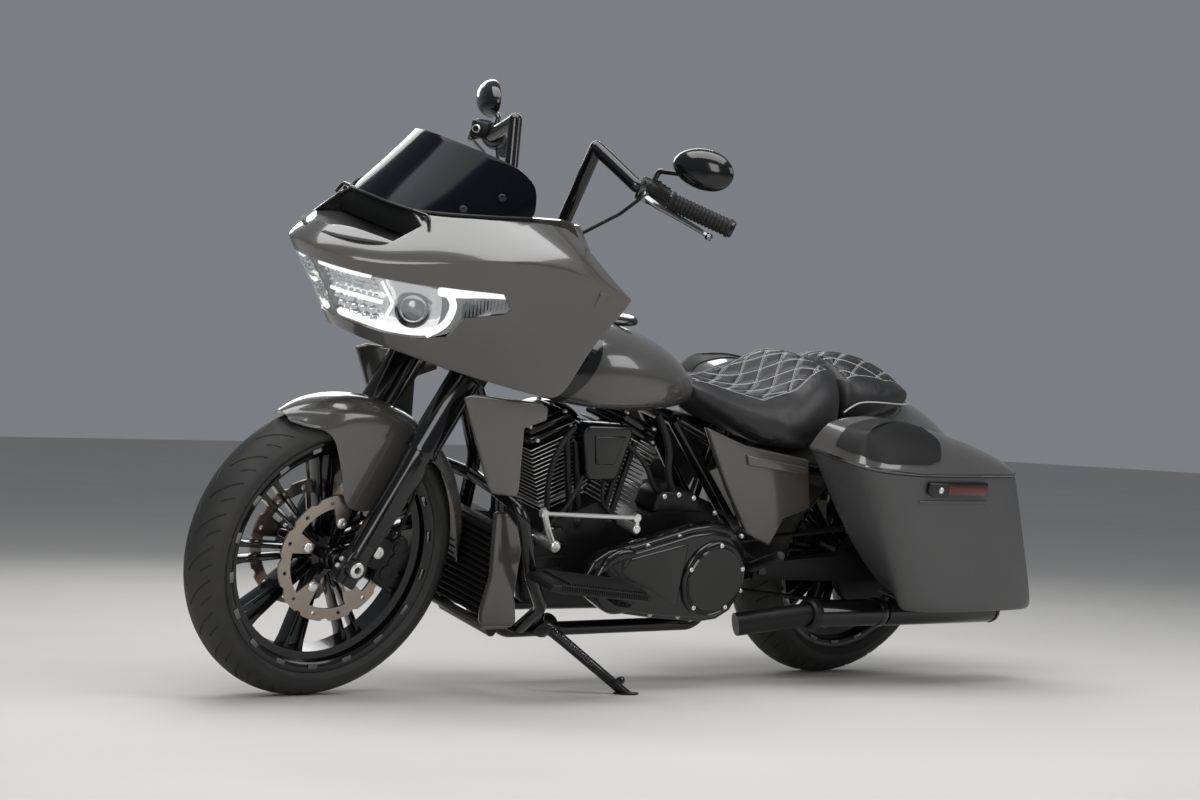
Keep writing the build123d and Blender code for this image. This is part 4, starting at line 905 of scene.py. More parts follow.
def tank_ring(section, grow=0):
    x, half, bottom, middle, top = section
    rise = top - middle
    left = [(0, bottom), (0.62 * half, bottom), (0.86 * half, bottom + 4),
            (0.97 * half, bottom + 0.45 * (middle - bottom)),
            (half, middle), (0.96 * half, middle + 0.36 * rise), (0.80 * half, middle + 0.68 * rise),
            (0.48 * half, middle + 0.92 * rise), (0, top)]
    if grow:
        left = [(y + grow * y / half, z + grow * (z - middle) / rise) for y, z in left]
    return [(x, y, z) for y, z in left] + [(x, -y, z) for y, z in reversed(left[1:-1])]


tank = sheet(capped([tank_ring(section) for section in TANK_SECTIONS]), levels=3, closed=True)
fit(tank, "tank_shell", body_paint, "fuel_tank", smooth=50)
nose = sheet(capped([tank_ring(section, 1.6) for section in TANK_SECTIONS]), levels=3, closed=True)
window = slab([(1135, 650), (1135, 1000), (1012, 1000), (1020, 900), (1066, 800), (1112, 715), (1112, 650)],
              -300, 300)
cut(nose, window, "INTERSECT")
fit(nose, "tank_front_panel", black_gloss, smooth=50)
cap = turned([(0, 0), (0, 44), (6, 46), (11, 42), (14, 34), (15, 0)], (880, 0, 912), (0.1, 0, 1), 48, 1)
fit(cap, "tank_cap", black_gloss)

covers = []
for side in SIDES:
    outline = [(700, 704), (560, 660), (345, 628), (304, 502), (388, 474), (418, 404), (500, 434),
               (600, 560)]
    cover = slab(outline, side * 166, side * 188, bevel=6, segments=3)
    rib = slab([(560, 640), (352, 610), (345, 590), (548, 612)], side * 186, side * 196, bevel=8,
               segments=3)
    covers += [cover, rib]
fit(join(*covers), "side_panels", body_paint, "side_covers")

# ======== Saddlebags and lids ========

BAG_INNER = 212
BAG_FLOOR = 291
SLOPE_START = 180
LID_SEAM = 655


def bag_ring(side, height, front, corner, rear, outer, slope=0):
    """One level of a saddlebag: its slanted front face, rounded outer corner, long side and back."""
    points = [(front, BAG_INNER), (front - 0.12 * (front - corner), 300), (corner + 34, 366),
              (corner + 8, outer - 16), (corner - 44, outer), (corner - 150, outer + 1),
              (rear + 150, outer + 1),
              (rear + 40, outer - 2), (rear + 4, outer - 22), (rear, outer - 70), (rear, BAG_INNER)]
    return [(x, side * y, height + slope * max(0, x - SLOPE_START)) for x, y in points]


# Height, front edge, front corner, rear edge, outer face, slope of the front end.
BAG_LEVELS = [(652, 384, 322, -196, 413, 0.06), (590, 325, 262, -226, 415, 0.03),
              (500, 248, 204, -268, 416), (410, 164, 148, -312, 416), (340, 82, 108, -346, 415),
              (306, 36, 92, -362, 412), (292, 14, 78, -362, 404), (BAG_FLOOR, -6, 58, -338, 378)]
LID_TOPS = [(400, 735), (340, 752), (285, 776), (200, 774), (100, 753), (0, 731), (-100, 707), (-210, 674)]


def lid_top(x):
    """Height of the lid's crown at length x."""
    x = min(max(x, -209), 399)
    for (x0, z0), (x1, z1) in zip(LID_TOPS, LID_TOPS[1:]):
        if x > x1:
            return z0 + (z1 - z0) * (x0 - x) / (x0 - x1)


for side, word in ((1, "left"), (-1, "right")):
    bag = sheet([bag_ring(side, *level) for level in BAG_LEVELS], levels=2, closed=True, wall=4,
                crease_rows=(0,), crease_lines=(0, 10, 11))
    floor_pan = slab([(36, BAG_FLOOR), (-332, BAG_FLOOR), (-332, BAG_FLOOR + 4), (36, BAG_FLOOR + 4)],
                     side * 216, side * 372)
    fit(join(bag, floor_pan), "bag_" + word, bag_paint, "saddlebag_" + word, smooth=40)
    lid_rings = []
    for share, shrink in ((0, 0), (0.1, 0), (0.14, 0.03), (0.5, 0.2), (0.82, 0.5), (0.97, 0.85)):
        ring = []
        for x, y, z in bag_ring(side, LID_SEAM, 388 - 62 * shrink, 326 - 46 * shrink, -197 + 40 * shrink,
                                416 - 100 * shrink, 0.06):
            if abs(y) < 230:
                y = side * (BAG_INNER + 22 * shrink)
            ring.append((x, y, z + share * max(6, lid_top(x) - z)))
        lid_rings.append(ring)
    middle = sum((Vector(p) for p in lid_rings[-1]), Vector()) / 11
    for pull in (0.5, 1):
        ring = [Vector(p).lerp(middle, pull) for p in lid_rings[5]]
        lid_rings.append([(p.x, p.y, max(p.z, lid_top(p.x) if pull < 1 else middle.z)) for p in ring])
    lid = sheet(lid_rings, levels=3, closed=True, crease_rows=(0, 1), crease_lines=(0, 10, 11))
    trim = []
    for x, y in ((500, 240), (500, 280), (500, 320)):
        _, spot, normal, _ = lid.ray_cast(Vector((x, side * y, 672)), Vector((-1, 0, 0)))
        trim.append(spot + normal * 0.5)
    for x in range(340, -190, -20):
        hit, spot, normal, _ = lid.ray_cast(Vector((x, side * 600, 660 + 0.06 * max(0, x - SLOPE_START))),
                                            Vector((0, -side, 0)))
        if hit:
            trim.append(spot + normal * 0.5)
    fit(tube(trim, 3.2, sides=2), "lid_trim_" + word, dark_chrome, body=word + "_lid")
    # The speaker panel is the lid's own skin, lifted a little inside its outline.
    grille = twin(lid, Matrix.Translation((1.5, side * 2.2, 2.2)))
    window = slab([(400, 700), (352, 762), (320, 800), (210, 800), (128, 762), (92, 736), (112, 694),
                   (150, 684), (290, 684)], side * 292, side * 460, bevel=8, segments=3)
    cut(grille, window, "INTERSECT")
    fit(grille, "lid_speaker_" + word, black_plastic, body=word + "_lid")
    fit(lid, "lid_" + word, body_paint, "bag_lid_" + word, body=word + "_lid", smooth=40)
    latch = slab([(152, 614), (152, 642), (-56, 642), (-58, 614), (-48, 604), (132, 604)], side * 412,
                 side * 427, 5, 3)
    fit(latch, "latch_" + word, black_gloss)
    fit(slab([(86, 611), (86, 633), (-50, 633), (-50, 611)], side * 421, side * 429, 2),
        "latch_reflector_" + word, red_lens)
    fit(bolt((112, side * 426, 623), (0, side, 0), 8, 4), "latch_key_" + word, bright_steel)
    crease = slab([(170, 586), (170, 594), (-70, 594), (-64, 586)], side * 410, side * 420, bevel=3,
                  segments=3)
    fit(crease, "bag_crease_" + word, bag_paint)

# ======== Wheels ========

def crown_at(y, radius, sharpness):
    """Radius of a tyre's tread at width y."""
    return radius - sharpness + math.sqrt(sharpness ** 2 - y ** 2)


def make_tyre(name, body, centre, radius, width, bead, sharpness, grooves, node):
    half = 0.45 * width
    crown = [(y, crown_at(y, radius, sharpness)) for y in (half * t / 8 for t in range(-8, 9))]
    low = crown[-1][1]
    wall = [(0.485 * width, low - 6), (0.5 * width, 0.5 * (low + bead) + 14),
            (0.496 * width, 0.5 * (low + bead) + 2), (0.45 * width, bead + 24), (0.41 * width, bead + 17),
            (0.385 * width, bead + 16), (0.36 * width, bead + 1)]
    profile = crown + wall + [(-y, r) for y, r in reversed(wall)]
    tyre = turned(profile, (0, 0, 0), steps=120)
    lines = []
    for count in range(grooves):
        for side in SIDES:
            start = math.tau * (count + 0.5 * (side > 0)) / grooves
            for reach, lead, swing in ((0.92, 0.10, 0.20), (0.95, 0.62, 0.065)):
                line = []
                for step in range(7):
                    t = step / 6
                    y = half * (lead + (reach - lead) * t)
                    turn = start + swing * t ** 0.85 + (0.135 + math.pi / grooves if lead > 0.5 else 0)
                    r = crown_at(y, radius, sharpness)
                    line.append((r * math.cos(turn), side * y, r * math.sin(turn)))
                lines.append(line)
    cutters = wires(lines, 2.6, sides=1)
    edit(cutters, (bpy.ops.mesh.fill_holes, {"sides": 0}), OUTWARD)
    cut(tyre, cutters, use_self=True)
    rings = [turned([(y, r), (y + side * 1.4, r + 2), (y, r + 4)], (0, 0, 0), steps=96)
             for side in SIDES for y, r in ((side * 0.462 * width, bead + 27),
                                            (side * 0.478 * width, bead + 32))]
    tyre = join(tyre, *rings)
    tyre.data.transform(Matrix.Translation(centre))
    fit(tyre, name, tyre_rubber, node, body=body, smooth=30)


def make_rim(name, body, centre, width, bead, hub_radius, hub_half, pairs, node):
    heel = 0.36 * width
    lip, well = heel + 5, bead - 18
    barrel = turned([(-lip, bead + 15), (-lip + 4, bead + 16), (-heel, bead + 12), (-heel, bead),
                     (-0.6 * heel, bead - 1), (-0.5 * heel, well), (0.5 * heel, well),
                     (0.6 * heel, bead - 1), (heel, bead), (heel, bead + 12), (lip - 4, bead + 16),
                     (lip, bead + 15), (lip - 1, bead + 4), (lip - 7, bead - 6), (0.62 * heel, bead - 9),
                     (0.54 * heel, well - 8), (-0.54 * heel, well - 8), (-0.62 * heel, bead - 9),
                     (7 - lip, bead - 6), (1 - lip, bead + 4)], (0, 0, 0), steps=96)
    hub = turned([(-hub_half, 13), (-hub_half, 26), (-hub_half + 5, 30), (-0.62 * hub_half, 32),
                  (-0.5 * hub_half, hub_radius), (0.5 * hub_half, hub_radius), (0.62 * hub_half, 32),
                  (hub_half - 5, 30), (hub_half, 26), (hub_half, 13)],
                 (0, 0, 0), steps=48)
    inner, outer, deep = hub_radius - 6, well - 3, 0.42 * heel
    blade = slab([(inner, 4), (0.5 * outer, 7), (outer - 26, 12), (outer, 13), (outer, 31),
                  (outer - 26, 25), (0.5 * outer, 17), (inner, 14)], -deep, deep, bevel=3.5)
    pocket = slab([(0.34 * outer, 7.6), (0.62 * outer, 10), (outer - 34, 15), (outer - 36, 19),
                   (0.6 * outer, 15), (0.34 * outer, 12)], -deep - 2, deep + 2, bevel=1)
    cut(blade, pocket)
    blade = join(blade, twin(blade, Matrix.Scale(-1, 4, (0, 0, 1))))
    spokes = array(blade, *[Matrix.Rotation(math.tau * k / pairs, 4, "Y") for k in range(pairs)])
    rim = join(barrel, hub, spokes)
    rim.data.transform(Matrix.Translation(centre))
    fit(rim, name, black_gloss, node, body=body)
    step = math.tau / (2 * pairs)
    window = slab([(bead - 4, -13), (bead + 7, -12), (bead + 7, 12), (bead - 4, 13)], lip - 3, lip + 0.6,
                  bevel=0.5)
    window = join(window, twin(window, Matrix.Scale(-1, 4, ACROSS)))
    windows = array(window, *[Matrix.Rotation(step * (k + 0.5), 4, "Y") for k in range(2 * pairs)])
    windows.data.transform(Matrix.Translation(centre))
    fit(windows, name + "_recesses", dark_chrome, body=body)


SPOKE_PAIRS = 9
make_tyre("front_tyre_tread", "front_wheel", FRONT_AXLE, FRONT_RADIUS, FRONT_WIDTH, FRONT_BEAD, 70.7, 26,
          "front_tyre")
make_tyre("rear_tyre_tread", "rear_wheel", REAR_AXLE, REAR_RADIUS, REAR_WIDTH, REAR_BEAD, 96.6, 24,
          "rear_tyre")
make_rim("front_wheel_cast", "front_wheel", FRONT_AXLE, FRONT_WIDTH, FRONT_BEAD, 46, 72, SPOKE_PAIRS,
         "front_rim")
make_rim("rear_wheel_cast", "rear_wheel", REAR_AXLE, REAR_WIDTH, REAR_BEAD, 52, 100, SPOKE_PAIRS,
         "rear_rim")

# Lugs, carriers and bolts of the front discs.
DISC_BOLTS = 5
lugs = []
for side in SIDES:
    lug = slab([(28, -14), (74, -10), (92, -8), (92, 8), (74, 10), (28, 14)], side * 40, side * 58, bevel=3)
    for k in range(DISC_BOLTS):
        turn = Matrix.Rotation(math.tau * k / DISC_BOLTS - math.pi / 2, 4, "Y")
        lugs.append(twin(lug, Matrix.Translation(FRONT_AXLE) @ turn))
    bpy.data.objects.remove(lug)
fit(join(*lugs), "disc_carriers", black_gloss, body="front_wheel")
bolts = []
for side in SIDES:
    for k in range(DISC_BOLTS):
        turn = math.tau * k / DISC_BOLTS + math.pi / 2
        place = FRONT_AXLE + Vector((83 * math.cos(turn), side * 64.5, 83 * math.sin(turn)))
        bolts.append(turned([(0, 0), (0, 12), (1.5, 13), (4, 12), (6, 9), (6, 4.5), (3, 4.5), (3, 0)],
                            place, (0, side, 0), 24))
fit(join(*bolts), "disc_bolts", bright_steel, body="front_wheel")

# ======== Front fender, fork and brakes ========

FENDER = FRONT_RADIUS + 24
FENDER_START, FENDER_STOP = 62, 182
# Angle, radius of the lower edge and share of the full width, from the nose over the wheel to the rear tip.
SKIRT = [(62, 352, 0.45), (66, 334, 0.8), (71, 322, 0.96), (76, 300, 1), (79.5, 240, 1), (82, 170, 1),
         (85, 132, 1), (96, 118, 1), (110, 122, 1), (119, 134, 1), (123, 176, 1), (122, 240, 1),
         (121, 296, 1),
         (126, 316, 1), (136, 322, 1), (150, 322, 1), (164, 324, 1), (177, 330, 0.96), (182, 340, 0.9)]
rows = []
for index, (turn, skirt, spread) in enumerate(SKIRT):
    top_turn = FENDER_START + (FENDER_STOP - FENDER_START) * index / (len(SKIRT) - 1)
    row = []
    for y, radius, follow in ((0, FENDER, 0), (26, FENDER - 1, 0), (50, FENDER - 8, 0),
                              (68, FENDER - 22, 0.1), (78, FENDER - 44, 0.35),
                              (80, 0.5 * (FENDER - 44 + skirt), 0.7), (80, skirt, 1)):
        bearing = math.radians(top_turn + (turn - top_turn) * follow)
        radius = max(radius, skirt)
        row.append((FRONT_AXLE.x + radius * math.cos(bearing), y * spread,
                    FRONT_AXLE.z + radius * math.sin(bearing)))
    rows.append([(x, -y, z) for x, y, z in reversed(row[1:])] + row)
fender = sheet(rows, levels=2, wall=3)
fit(fender, "front_mudguard", body_paint, "front_fender", body="steering", smooth=50)

FORK_HALF = 118
legs = []
for side in SIDES:
    legs.append(turned([(0, 37), (0, 39), (8, 40), (14, 38), (320, 38), (338, 36), (338, 20)],
                       on_fork(-9, side * FORK_HALF, 300), FORK_UP, 40))
    legs.append(turned([(0, 24), (-6, 30.5), (240, 30.5), (262, 33), (290, 33), (292, 24)],
                       on_fork(-9, side * FORK_HALF, 10), FORK_UP, 40))
    foot = fork_outline((-34, -44), (20, -44), (26, -20), (24, 26), (6, 60), (-30, 62), (-36, 30))
    legs.append(slab(foot, side * 98, side * 139, bevel=7, segments=3))
    flat = fork_outline((-24, 60), (10, 60), (14, 250), (6, 290), (-24, 290), (-30, 250))
    legs.append(slab(flat, side * 140, side * 150, bevel=4))
fit(join(*legs), "fork_sleeves", black_gloss, body="steering")
trim = []
for side in SIDES:
    trim.append(turned([(-2, 13), (-2, 18), (2, 19), (6, 18), (8, 15), (8, 9), (2, 9), (2, 13)],
                       FRONT_AXLE + Vector((0, side * 149, 0)), (0, side, 0), 32))
    for up in (28, 46):
        trim.append(bolt(on_fork(26, side * 120, up - 40), FORK_AHEAD, 6, 6))
fit(join(*trim), "axle_caps", bright_steel, body="steering")

calipers, caliper_bolts = [], []
for side in SIDES:
    half_body = fork_outline((-158, 6), (-146, -4), (-104, 0), (-97, 30), (-97, 100), (-112, 124),
                             (-136, 120), (-156, 92))
    calipers.append(slab(half_body, side * 74, side * 92, bevel=6, segments=3))
    calipers.append(slab(half_body, side * 36, side * 54, bevel=6, segments=3))
    bridge = fork_outline((-158, 10), (-152, 2), (-150, 88), (-156, 92))
    calipers.append(slab(bridge, side * 38, side * 90, bevel=1))
    arm = fork_outline((-100, 24), (-30, 20), (-30, 100), (-100, 98))
    calipers.append(slab(arm, side * 78, side * 96, bevel=5))
    for ahead, up in ((-126, 30), (-130, 62), (-124, 94)):
        calipers.append(turned([(0, 19), (4, 18), (6, 14), (6, 0), (0, 0)], on_fork(ahead, side * 91, up),
                               (0, side, 0), 28))
    for ahead, up, size in ((-72, 60, 14), (-52, 30, 7), (-52, 92, 7)):
        caliper_bolts.append(bolt(on_fork(ahead, side * 96, up), (0, side, 0), size, 5))
fit(join(*calipers), "brake_calipers", black_satin, "front_calipers", body="steering")
fit(join(*caliper_bolts), "caliper_bolts", bright_steel, body="steering")

# ======== Engine ========

CRANK = Vector((940, 0, 335))
FINS, FIRST_FIN, FIN_PITCH = 17, 158, 10.4
for name, tilt in (("front_cylinder", 22.5), ("rear_cylinder", -22.5)):
    forward = 1 if tilt > 0 else -1
    bore = Vector((math.sin(math.radians(tilt)), 0, math.cos(math.radians(tilt))))
    ahead = Vector((bore.z, 0, -bore.x))
    turn = Matrix((ahead, ACROSS, bore)).transposed().to_4x4()
    slot_edge = slab([(CRANK.x + forward * 2, 200), (CRANK.x + forward * 2, 900),
                      (CRANK.x - forward * 300, 900), (CRANK.x - forward * 300, 200)], -200, 200)
    for kind, half, thick, finish in (("fins", 73, 4.2, black_satin), ("fin_edges", 75, 2.0, fin_edge)):
        plates = []
        for fin in range(FINS):
            height = FIRST_FIN + fin * FIN_PITCH
            size = half - (10 if fin < 2 else 0)
            place = Matrix.Translation(CRANK + bore * height) @ turn
            plates.append(box((2 * size, 2 * size, thick), 24, 4, place, limit_method="ANGLE",
                              angle_limit=1.4))
        fins = join(*plates)
        modify(fins, "BOOLEAN", operation="DIFFERENCE", object=slot_edge, solver="EXACT")
        fit(fins, name + "_" + kind, finish, *([name] if kind == "fins" else []))
    core = turned([(140, 0), (140, 58), (336, 58), (336, 0)], CRANK, bore, 40)
    fit(core, name + "_barrel", black_satin)
    covers = []
    for low, high, size in ((335, 352, 70), (352, 372, 62), (372, 380, 48)):
        place = Matrix.Translation(CRANK + bore * (low + high) / 2) @ turn
        covers.append(box((2 * size, 2 * size, high - low), 7, 3, place, limit_method="ANGLE",
                          angle_limit=0.6))
    bpy.data.objects.remove(slot_edge)
    rocker = join(*covers)
    fit(rocker, name + "_rocker_cover", black_gloss, *(["rocker_covers"] if forward > 0 else []))
    heads = [bolt(CRANK + bore * 372 + ahead * a + Vector((0, y, 0)), bore, 6, 6) for a in (-52, 52)
             for y in (-52, 0, 52)]
    heads += [bolt(CRANK + bore * 343 + ahead * a + Vector((0, 70, 0)), ACROSS, 5, 5) for a in (-50, 50)]
    fit(join(*heads), name + "_cover_bolts", bright_steel)

# The primary cover: a flat dish with a raised ridge and a round bulge over the crank.
CLUTCH_X, CLUTCH_Z = 624, 336
PRIMARY = [(624, 219), (780, 232), (930, 252), (985, 284), (1011, 336), (992, 378), (952, 402), (876, 418),
           (706, 462), (640, 470), (574, 458), (522, 412), (503, 352), (504, 296), (530, 246), (570, 224)]
cover = slab(PRIMARY, 176, 214, bevel=9, segments=3)
ridge = slab([(x + 0.08 * (760 - x), z + 0.10 * (340 - z)) for x, z in PRIMARY], 200, 228, bevel=11,
             segments=4)
dish = turned([(0, 0), (0, 84), (10, 80), (14, 70), (14, 0)], (902, 214, 330), ACROSS, 48, 2)
neck = slab([(720, 430), (900, 392), (920, 352), (800, 300), (720, 262)], 200, 231, bevel=8, segments=3)
fit(join(cover, ridge, dish, neck), "primary_case", black_gloss, "primary_cover", smooth=50)
derby = turned([(0, 0), (0, 98), (6, 98), (10, 94), (11, 90), (8, 86), (8, 83), (12, 80), (12.5, 0)],
               (CLUTCH_X, 227, CLUTCH_Z), ACROSS, 72)
fit(derby, "derby", black_gloss, "derby_cover", smooth=50)
heads = []
for k in range(5):
    turn = math.tau * k / 5 + math.pi / 2
    heads.append(bolt((CLUTCH_X + 87 * math.cos(turn), 236, CLUTCH_Z + 87 * math.sin(turn)), ACROSS, 6, 5))
for x, z in ((700, 236), (790, 243), (880, 254), (960, 280), (996, 330), (940, 396), (840, 418), (745, 440),
             (545, 440), (512, 300)):
    heads.append(bolt((x, 212, z), ACROSS, 5.5, 7))
for x, z in ((735, 512), (690, 516), (640, 508), (1108, 300), (1118, 412), (1064, 428), (560, 470),
             (520, 400)):
    heads.append(bolt((x, 119, z), ACROSS, 6.5, 6))
fit(join(*heads), "case_bolts", bright_steel)

# Gearbox top, pushrod tubes, lifter blocks and the case's ribs.
parts = [slab([(760, 470), (752, 512), (730, 526), (650, 524), (615, 500), (600, 470)], 40, 122, bevel=8,
              segments=3)]
parts.append(slab([(1118, 250), (1140, 330), (1130, 410), (1040, 440), (1010, 410), (1040, 300),
                   (1060, 250)], 96, 132, 10, 3))
for x in (1010, 870):
    lean_x = 22 if x > CRANK.x else -22
    for shift_x in (-12, 14):
        parts.append(tube([(x + shift_x - lean_x, 104, 452), (x + shift_x + lean_x, 92, 640)], 8, sides=3))
    parts.append(turned([(0, 0), (0, 26), (20, 26), (26, 18), (26, 0)], (x - lean_x, 96, 436), (0, 0.2, 1),
                        28, 2))
for z in (300, 330, 360, 390):
    parts.append(slab([(1130, z), (1130, z + 5), (1020, z + 9), (1020, z + 3)], 120, 136, 1.5))
fit(join(*parts), "case_details", black_satin)
coil = slab([(892, 560), (902, 548), (978, 548), (990, 560), (1022, 664), (1012, 686), (878, 686),
             (868, 664)], 76, 121, 9, 4)
raised_face = slab([(912, 590), (970, 590), (988, 660), (892, 660)], 118, 125, bevel=4, segments=3)
fit(join(coil, raised_face), "coil_box", black_gloss, "coil_cover")
runs = [hose([(1046, 110, 676), (1100, 132, 640), (1112, 128, 540), (1090, 124, 470)], 7),
        hose([(1000, 118, 560), (1030, 136, 500), (1080, 132, 450), (1118, 120, 380)], 5),
        hose([(880, 112, 640), (820, 126, 600), (780, 120, 540), (744, 100, 520)], 6),
        hose([(760, 70, 700), (735, 110, 640), (740, 120, 560), (700, 112, 520)], 9),
        hose([(930, 118, 548), (940, 128, 500), (900, 130, 470), (860, 118, 440)], 4),
        hose([(560, 130, 480), (480, 150, 440), (430, 160, 420), (380, 150, 450)], 5)]
fit(join(*runs), "engine_hoses", soft_rubber)
LINKAGE_Y = 186
linkage = [tube([(1154, LINKAGE_Y, 488), (863, LINKAGE_Y, 478)], 5.5, sides=3)]
for x, z in ((1150, 488), (867, 478)):
    linkage.append(turned([(-7, 0), (-7, 11), (7, 11), (7, 0)], (x, LINKAGE_Y, z), ACROSS, 24, 2))
linkage += [tube([(1156, 188, 500), (1126, 190, 440), (1104, 188, 410)], 7.5, bend=20, sides=3),
            turned([(-70, 0), (-70, 12), (8, 14), (12, 10), (12, 0)], (1104, 188, 410), ACROSS, 28, 1),
            tube([(863, LINKAGE_Y, 486), (863, LINKAGE_Y, 450)], 7, sides=3),
            turned([(-70, 0), (-70, 10), (6, 12), (9, 8), (9, 0)], (863, LINKAGE_Y, 450), ACROSS, 24, 1)]
fit(join(*linkage), "shift_rod", bright_steel, "shift_linkage")

# ======== Lower panels, footboards and exhaust ========

panels = []
for side in SIDES:
    outline = [(1470, 770), (1440, 778), (1250, 762), (1228, 752), (1226, 722), (1286, 702), (1268, 560),
               (1272, 538), (1340, 546), (1356, 560)]
    panels.append(slab(outline, side * 214, side * 228, bevel=6, segments=3))
fit(join(*panels), "leg_panels", body_paint, "lower_fairings")
chins = []
for side in SIDES:
    outline = [(1284, 486), (1256, 492), (1216, 458), (1192, 400), (1188, 290), (1168, 224), (1180, 208),
               (1268, 214), (1272, 250), (1262, 330)]
    chins.append(slab(outline, side * 160, side * 188, bevel=10, segments=4))
chins.append(slab([(1268, 206), (1190, 206), (1190, 218), (1268, 218)], -186, 186, bevel=4))
fit(join(*chins), "chin_panels", body_paint, "chin_fairing")
bars = [slab([(1262, z), (1262, z + 5), (1240, z + 11), (1240, z + 6)], -156, 156, bevel=1)
        for z in range(232, 452, 15)]
bars += [slab([(1242, 224), (1226, 224), (1226, 444), (1242, 444)], -158, 158, 3)]
fit(join(*bars), "radiator_louvres", black_plastic, "radiator_grille")

BOARD_RISE = 0.108
boards, ribs = [], []
for side in SIDES:
    boards.append(slab([(1236, 360), (1222, 374), (1180, 374), (940, 348), (926, 338), (930, 326),
                        (1190, 350)], side * 258, side * 366, bevel=5, segments=3))
    for x in range(945, 1180, 9):
        z = 348 + (x - 940) * BOARD_RISE
        ribs.append(slab([(x, z), (x + 4, z), (x + 4, z + 5), (x, z + 5)], side * 262, side * 366, bevel=1,
                         segments=1))
    for x in range(940, 1200, 7):
        z = 336 + (x - 940) * BOARD_RISE
        ribs.append(slab([(x, z - 4), (x + 3.4, z - 4), (x + 3.4, z + 9), (x, z + 9)], side * 364,
                         side * 369, 0.8, 1))
fit(join(*ribs), "footboard_ribs", soft_rubber)
pegs = []
for side in SIDES:
    pegs.append(turned([(0, 0), (0, 9), (8, 13), (126, 14), (132, 10), (132, 0)], (456, side * 176, 346),
                       (14, side * 125, 75), 28, 1))
    pegs.append(tube([(1192, side * 236, 352), (1192, side * 264, 356)], 9, sides=3))
    pegs.append(tube([(455, side * 137, 345), (455, side * 178, 346)], 12, sides=3))
fit(join(*boards, *pegs), "footboards", black_satin, "footrests")

EXHAUST_Y, EXHAUST_Z = 262, 250
pipes, shells = [], []
for side in SIDES:
    y = side * EXHAUST_Y
    shells.append(turned([(-350, 0), (-350, 27), (-344, 33), (-330, 35), (40, 35), (52, 33), (52, 0)],
                         (0, y, EXHAUST_Z), (1, 0, 0), 40))
    shells.append(turned([(60, 0), (60, 34), (66, 37), (80, 37), (84, 34), (290, 34), (300, 30), (300, 0)],
                         (0, y, EXHAUST_Z), (1, 0, 0), 40))
    pipes.append(tube([(480, side * 190, 202), (420, side * 214, 218), (300, y, EXHAUST_Z)], 29, bend=60,
                      sides=6))
    pipes.append(turned([(0, 30), (0, 37), (8, 39), (22, 39), (28, 34), (28, 30)], (290, y, EXHAUST_Z),
                        (1, 0, 0), 36))
    pipes.append(turned([(-352, 24), (-356, 28), (-350, 34), (-340, 36), (-338, 24)], (0, y, EXHAUST_Z),
                        (1, 0, 0), 36))
    for x in (50, -250):
        pipes.append(tube([(x, y, 270), (x, y, 291)], 8, sides=3))
fit(join(*pipes), "header_pipes", black_satin, "exhausts")
fit(join(*shells), "mufflers", black_gloss)

# ======== Handlebar, controls and mirrors ========

BAR_PEAK, BAR_BEND, BAR_END = Vector((1179, 157, 1347)), Vector((1146, 278, 1289)), Vector((984, 430, 1236))
along = (BAR_END - BAR_BEND).normalized()
swept = Vector((0, 0, 1)).cross(along).normalized()
upright = along.cross(swept).normalized()


def on_bar(run, ahead=0, up=0):
    """A point beside the left grip: run along the bar from its bend, ahead of it and above it."""
    return BAR_BEND + along * run - swept * ahead + upright * up


grip = [(84, 17), (84, 24), (90, 24), (92, 20)]
for ring in range(14):
    start = 96 + ring * 9
    grip += [(start, 18.5), (start + 1, 20.5), (start + 6.5, 20.5), (start + 7.5, 18.5)]
grip += [(224, 18.5), (226, 22), (232, 22), (234, 17), (234, 16.4), (84, 16.4)]
fit(both_sides(turned(grip, BAR_BEND, along, 32)), "grip_sleeves", soft_rubber, "grips", body="steering")
caps = both_sides(turned([(232, 9.5), (232, 20), (238, 20), (242, 16), (242, 9.5)], BAR_BEND, along, 32))
fit(caps, "bar_ends", black_gloss, body="steering")

housing = turned([(8, 16.5), (8, 25), (12, 28), (50, 28), (58, 25), (80, 23), (80, 16.5)], BAR_BEND, along,
                 32)
perch = tube([on_bar(22), on_bar(22, 34), on_bar(26, 52, -8)], 12, bend=12, sides=3)
switches = []
for run, up in ((56, 24), (68, 22), (44, 27)):
    switches.append(box((12, 9, 8), 1.5, 2, facing(on_bar(run, -10, up), upright)))
clamp = [bolt(on_bar(run, 20, 14), upright, 4, 6) for run in (16, 30)]
fit(both_sides(join(housing, perch, *switches, *clamp)), "switch_housings", black_satin, "hand_controls",
    body="steering")
lever = tube([on_bar(28, 52, -8), on_bar(60, 58, -14), on_bar(120, 50, -20), on_bar(176, 40, -27),
              on_bar(196, 44, -31)], 6.5, bend=40, sides=3, taper=lambda t: 1.25 - 0.5 * t)
ball = turned([(-9, 0), (-8, 5), (-4, 8.5), (4, 8.5), (8, 5), (9, 0)], on_bar(197, 44, -31), ACROSS, 20)
pivot = turned([(-12, 0), (-12, 9), (12, 9), (12, 0)], on_bar(28, 52, -8), upright, 20, 1)
fit(both_sides(join(lever, ball, pivot)), "levers", dark_chrome, body="steering")
glass_spot = on_bar(18, 30, 12)
mirrored = Matrix.Scale(-1, 4, ACROSS) @ Matrix.Translation(glass_spot) @ Matrix.Rotation(-0.7, 4, "Z")
tank_box = edit(box((52, 44, 40), 5, 3, mirrored), OUTWARD)
fit(tank_box, "brake_reservoir", black_satin, body="steering")
glass = turned([(0, 0), (0, 11), (2, 11), (3, 9), (3, 7), (1, 7), (1, 0)],
               (glass_spot.x + 24, -glass_spot.y + 8, glass_spot.z), (0.8, 0.6, 0), 28)
fit(glass, "reservoir_sight_glass", bright_steel, body="steering")

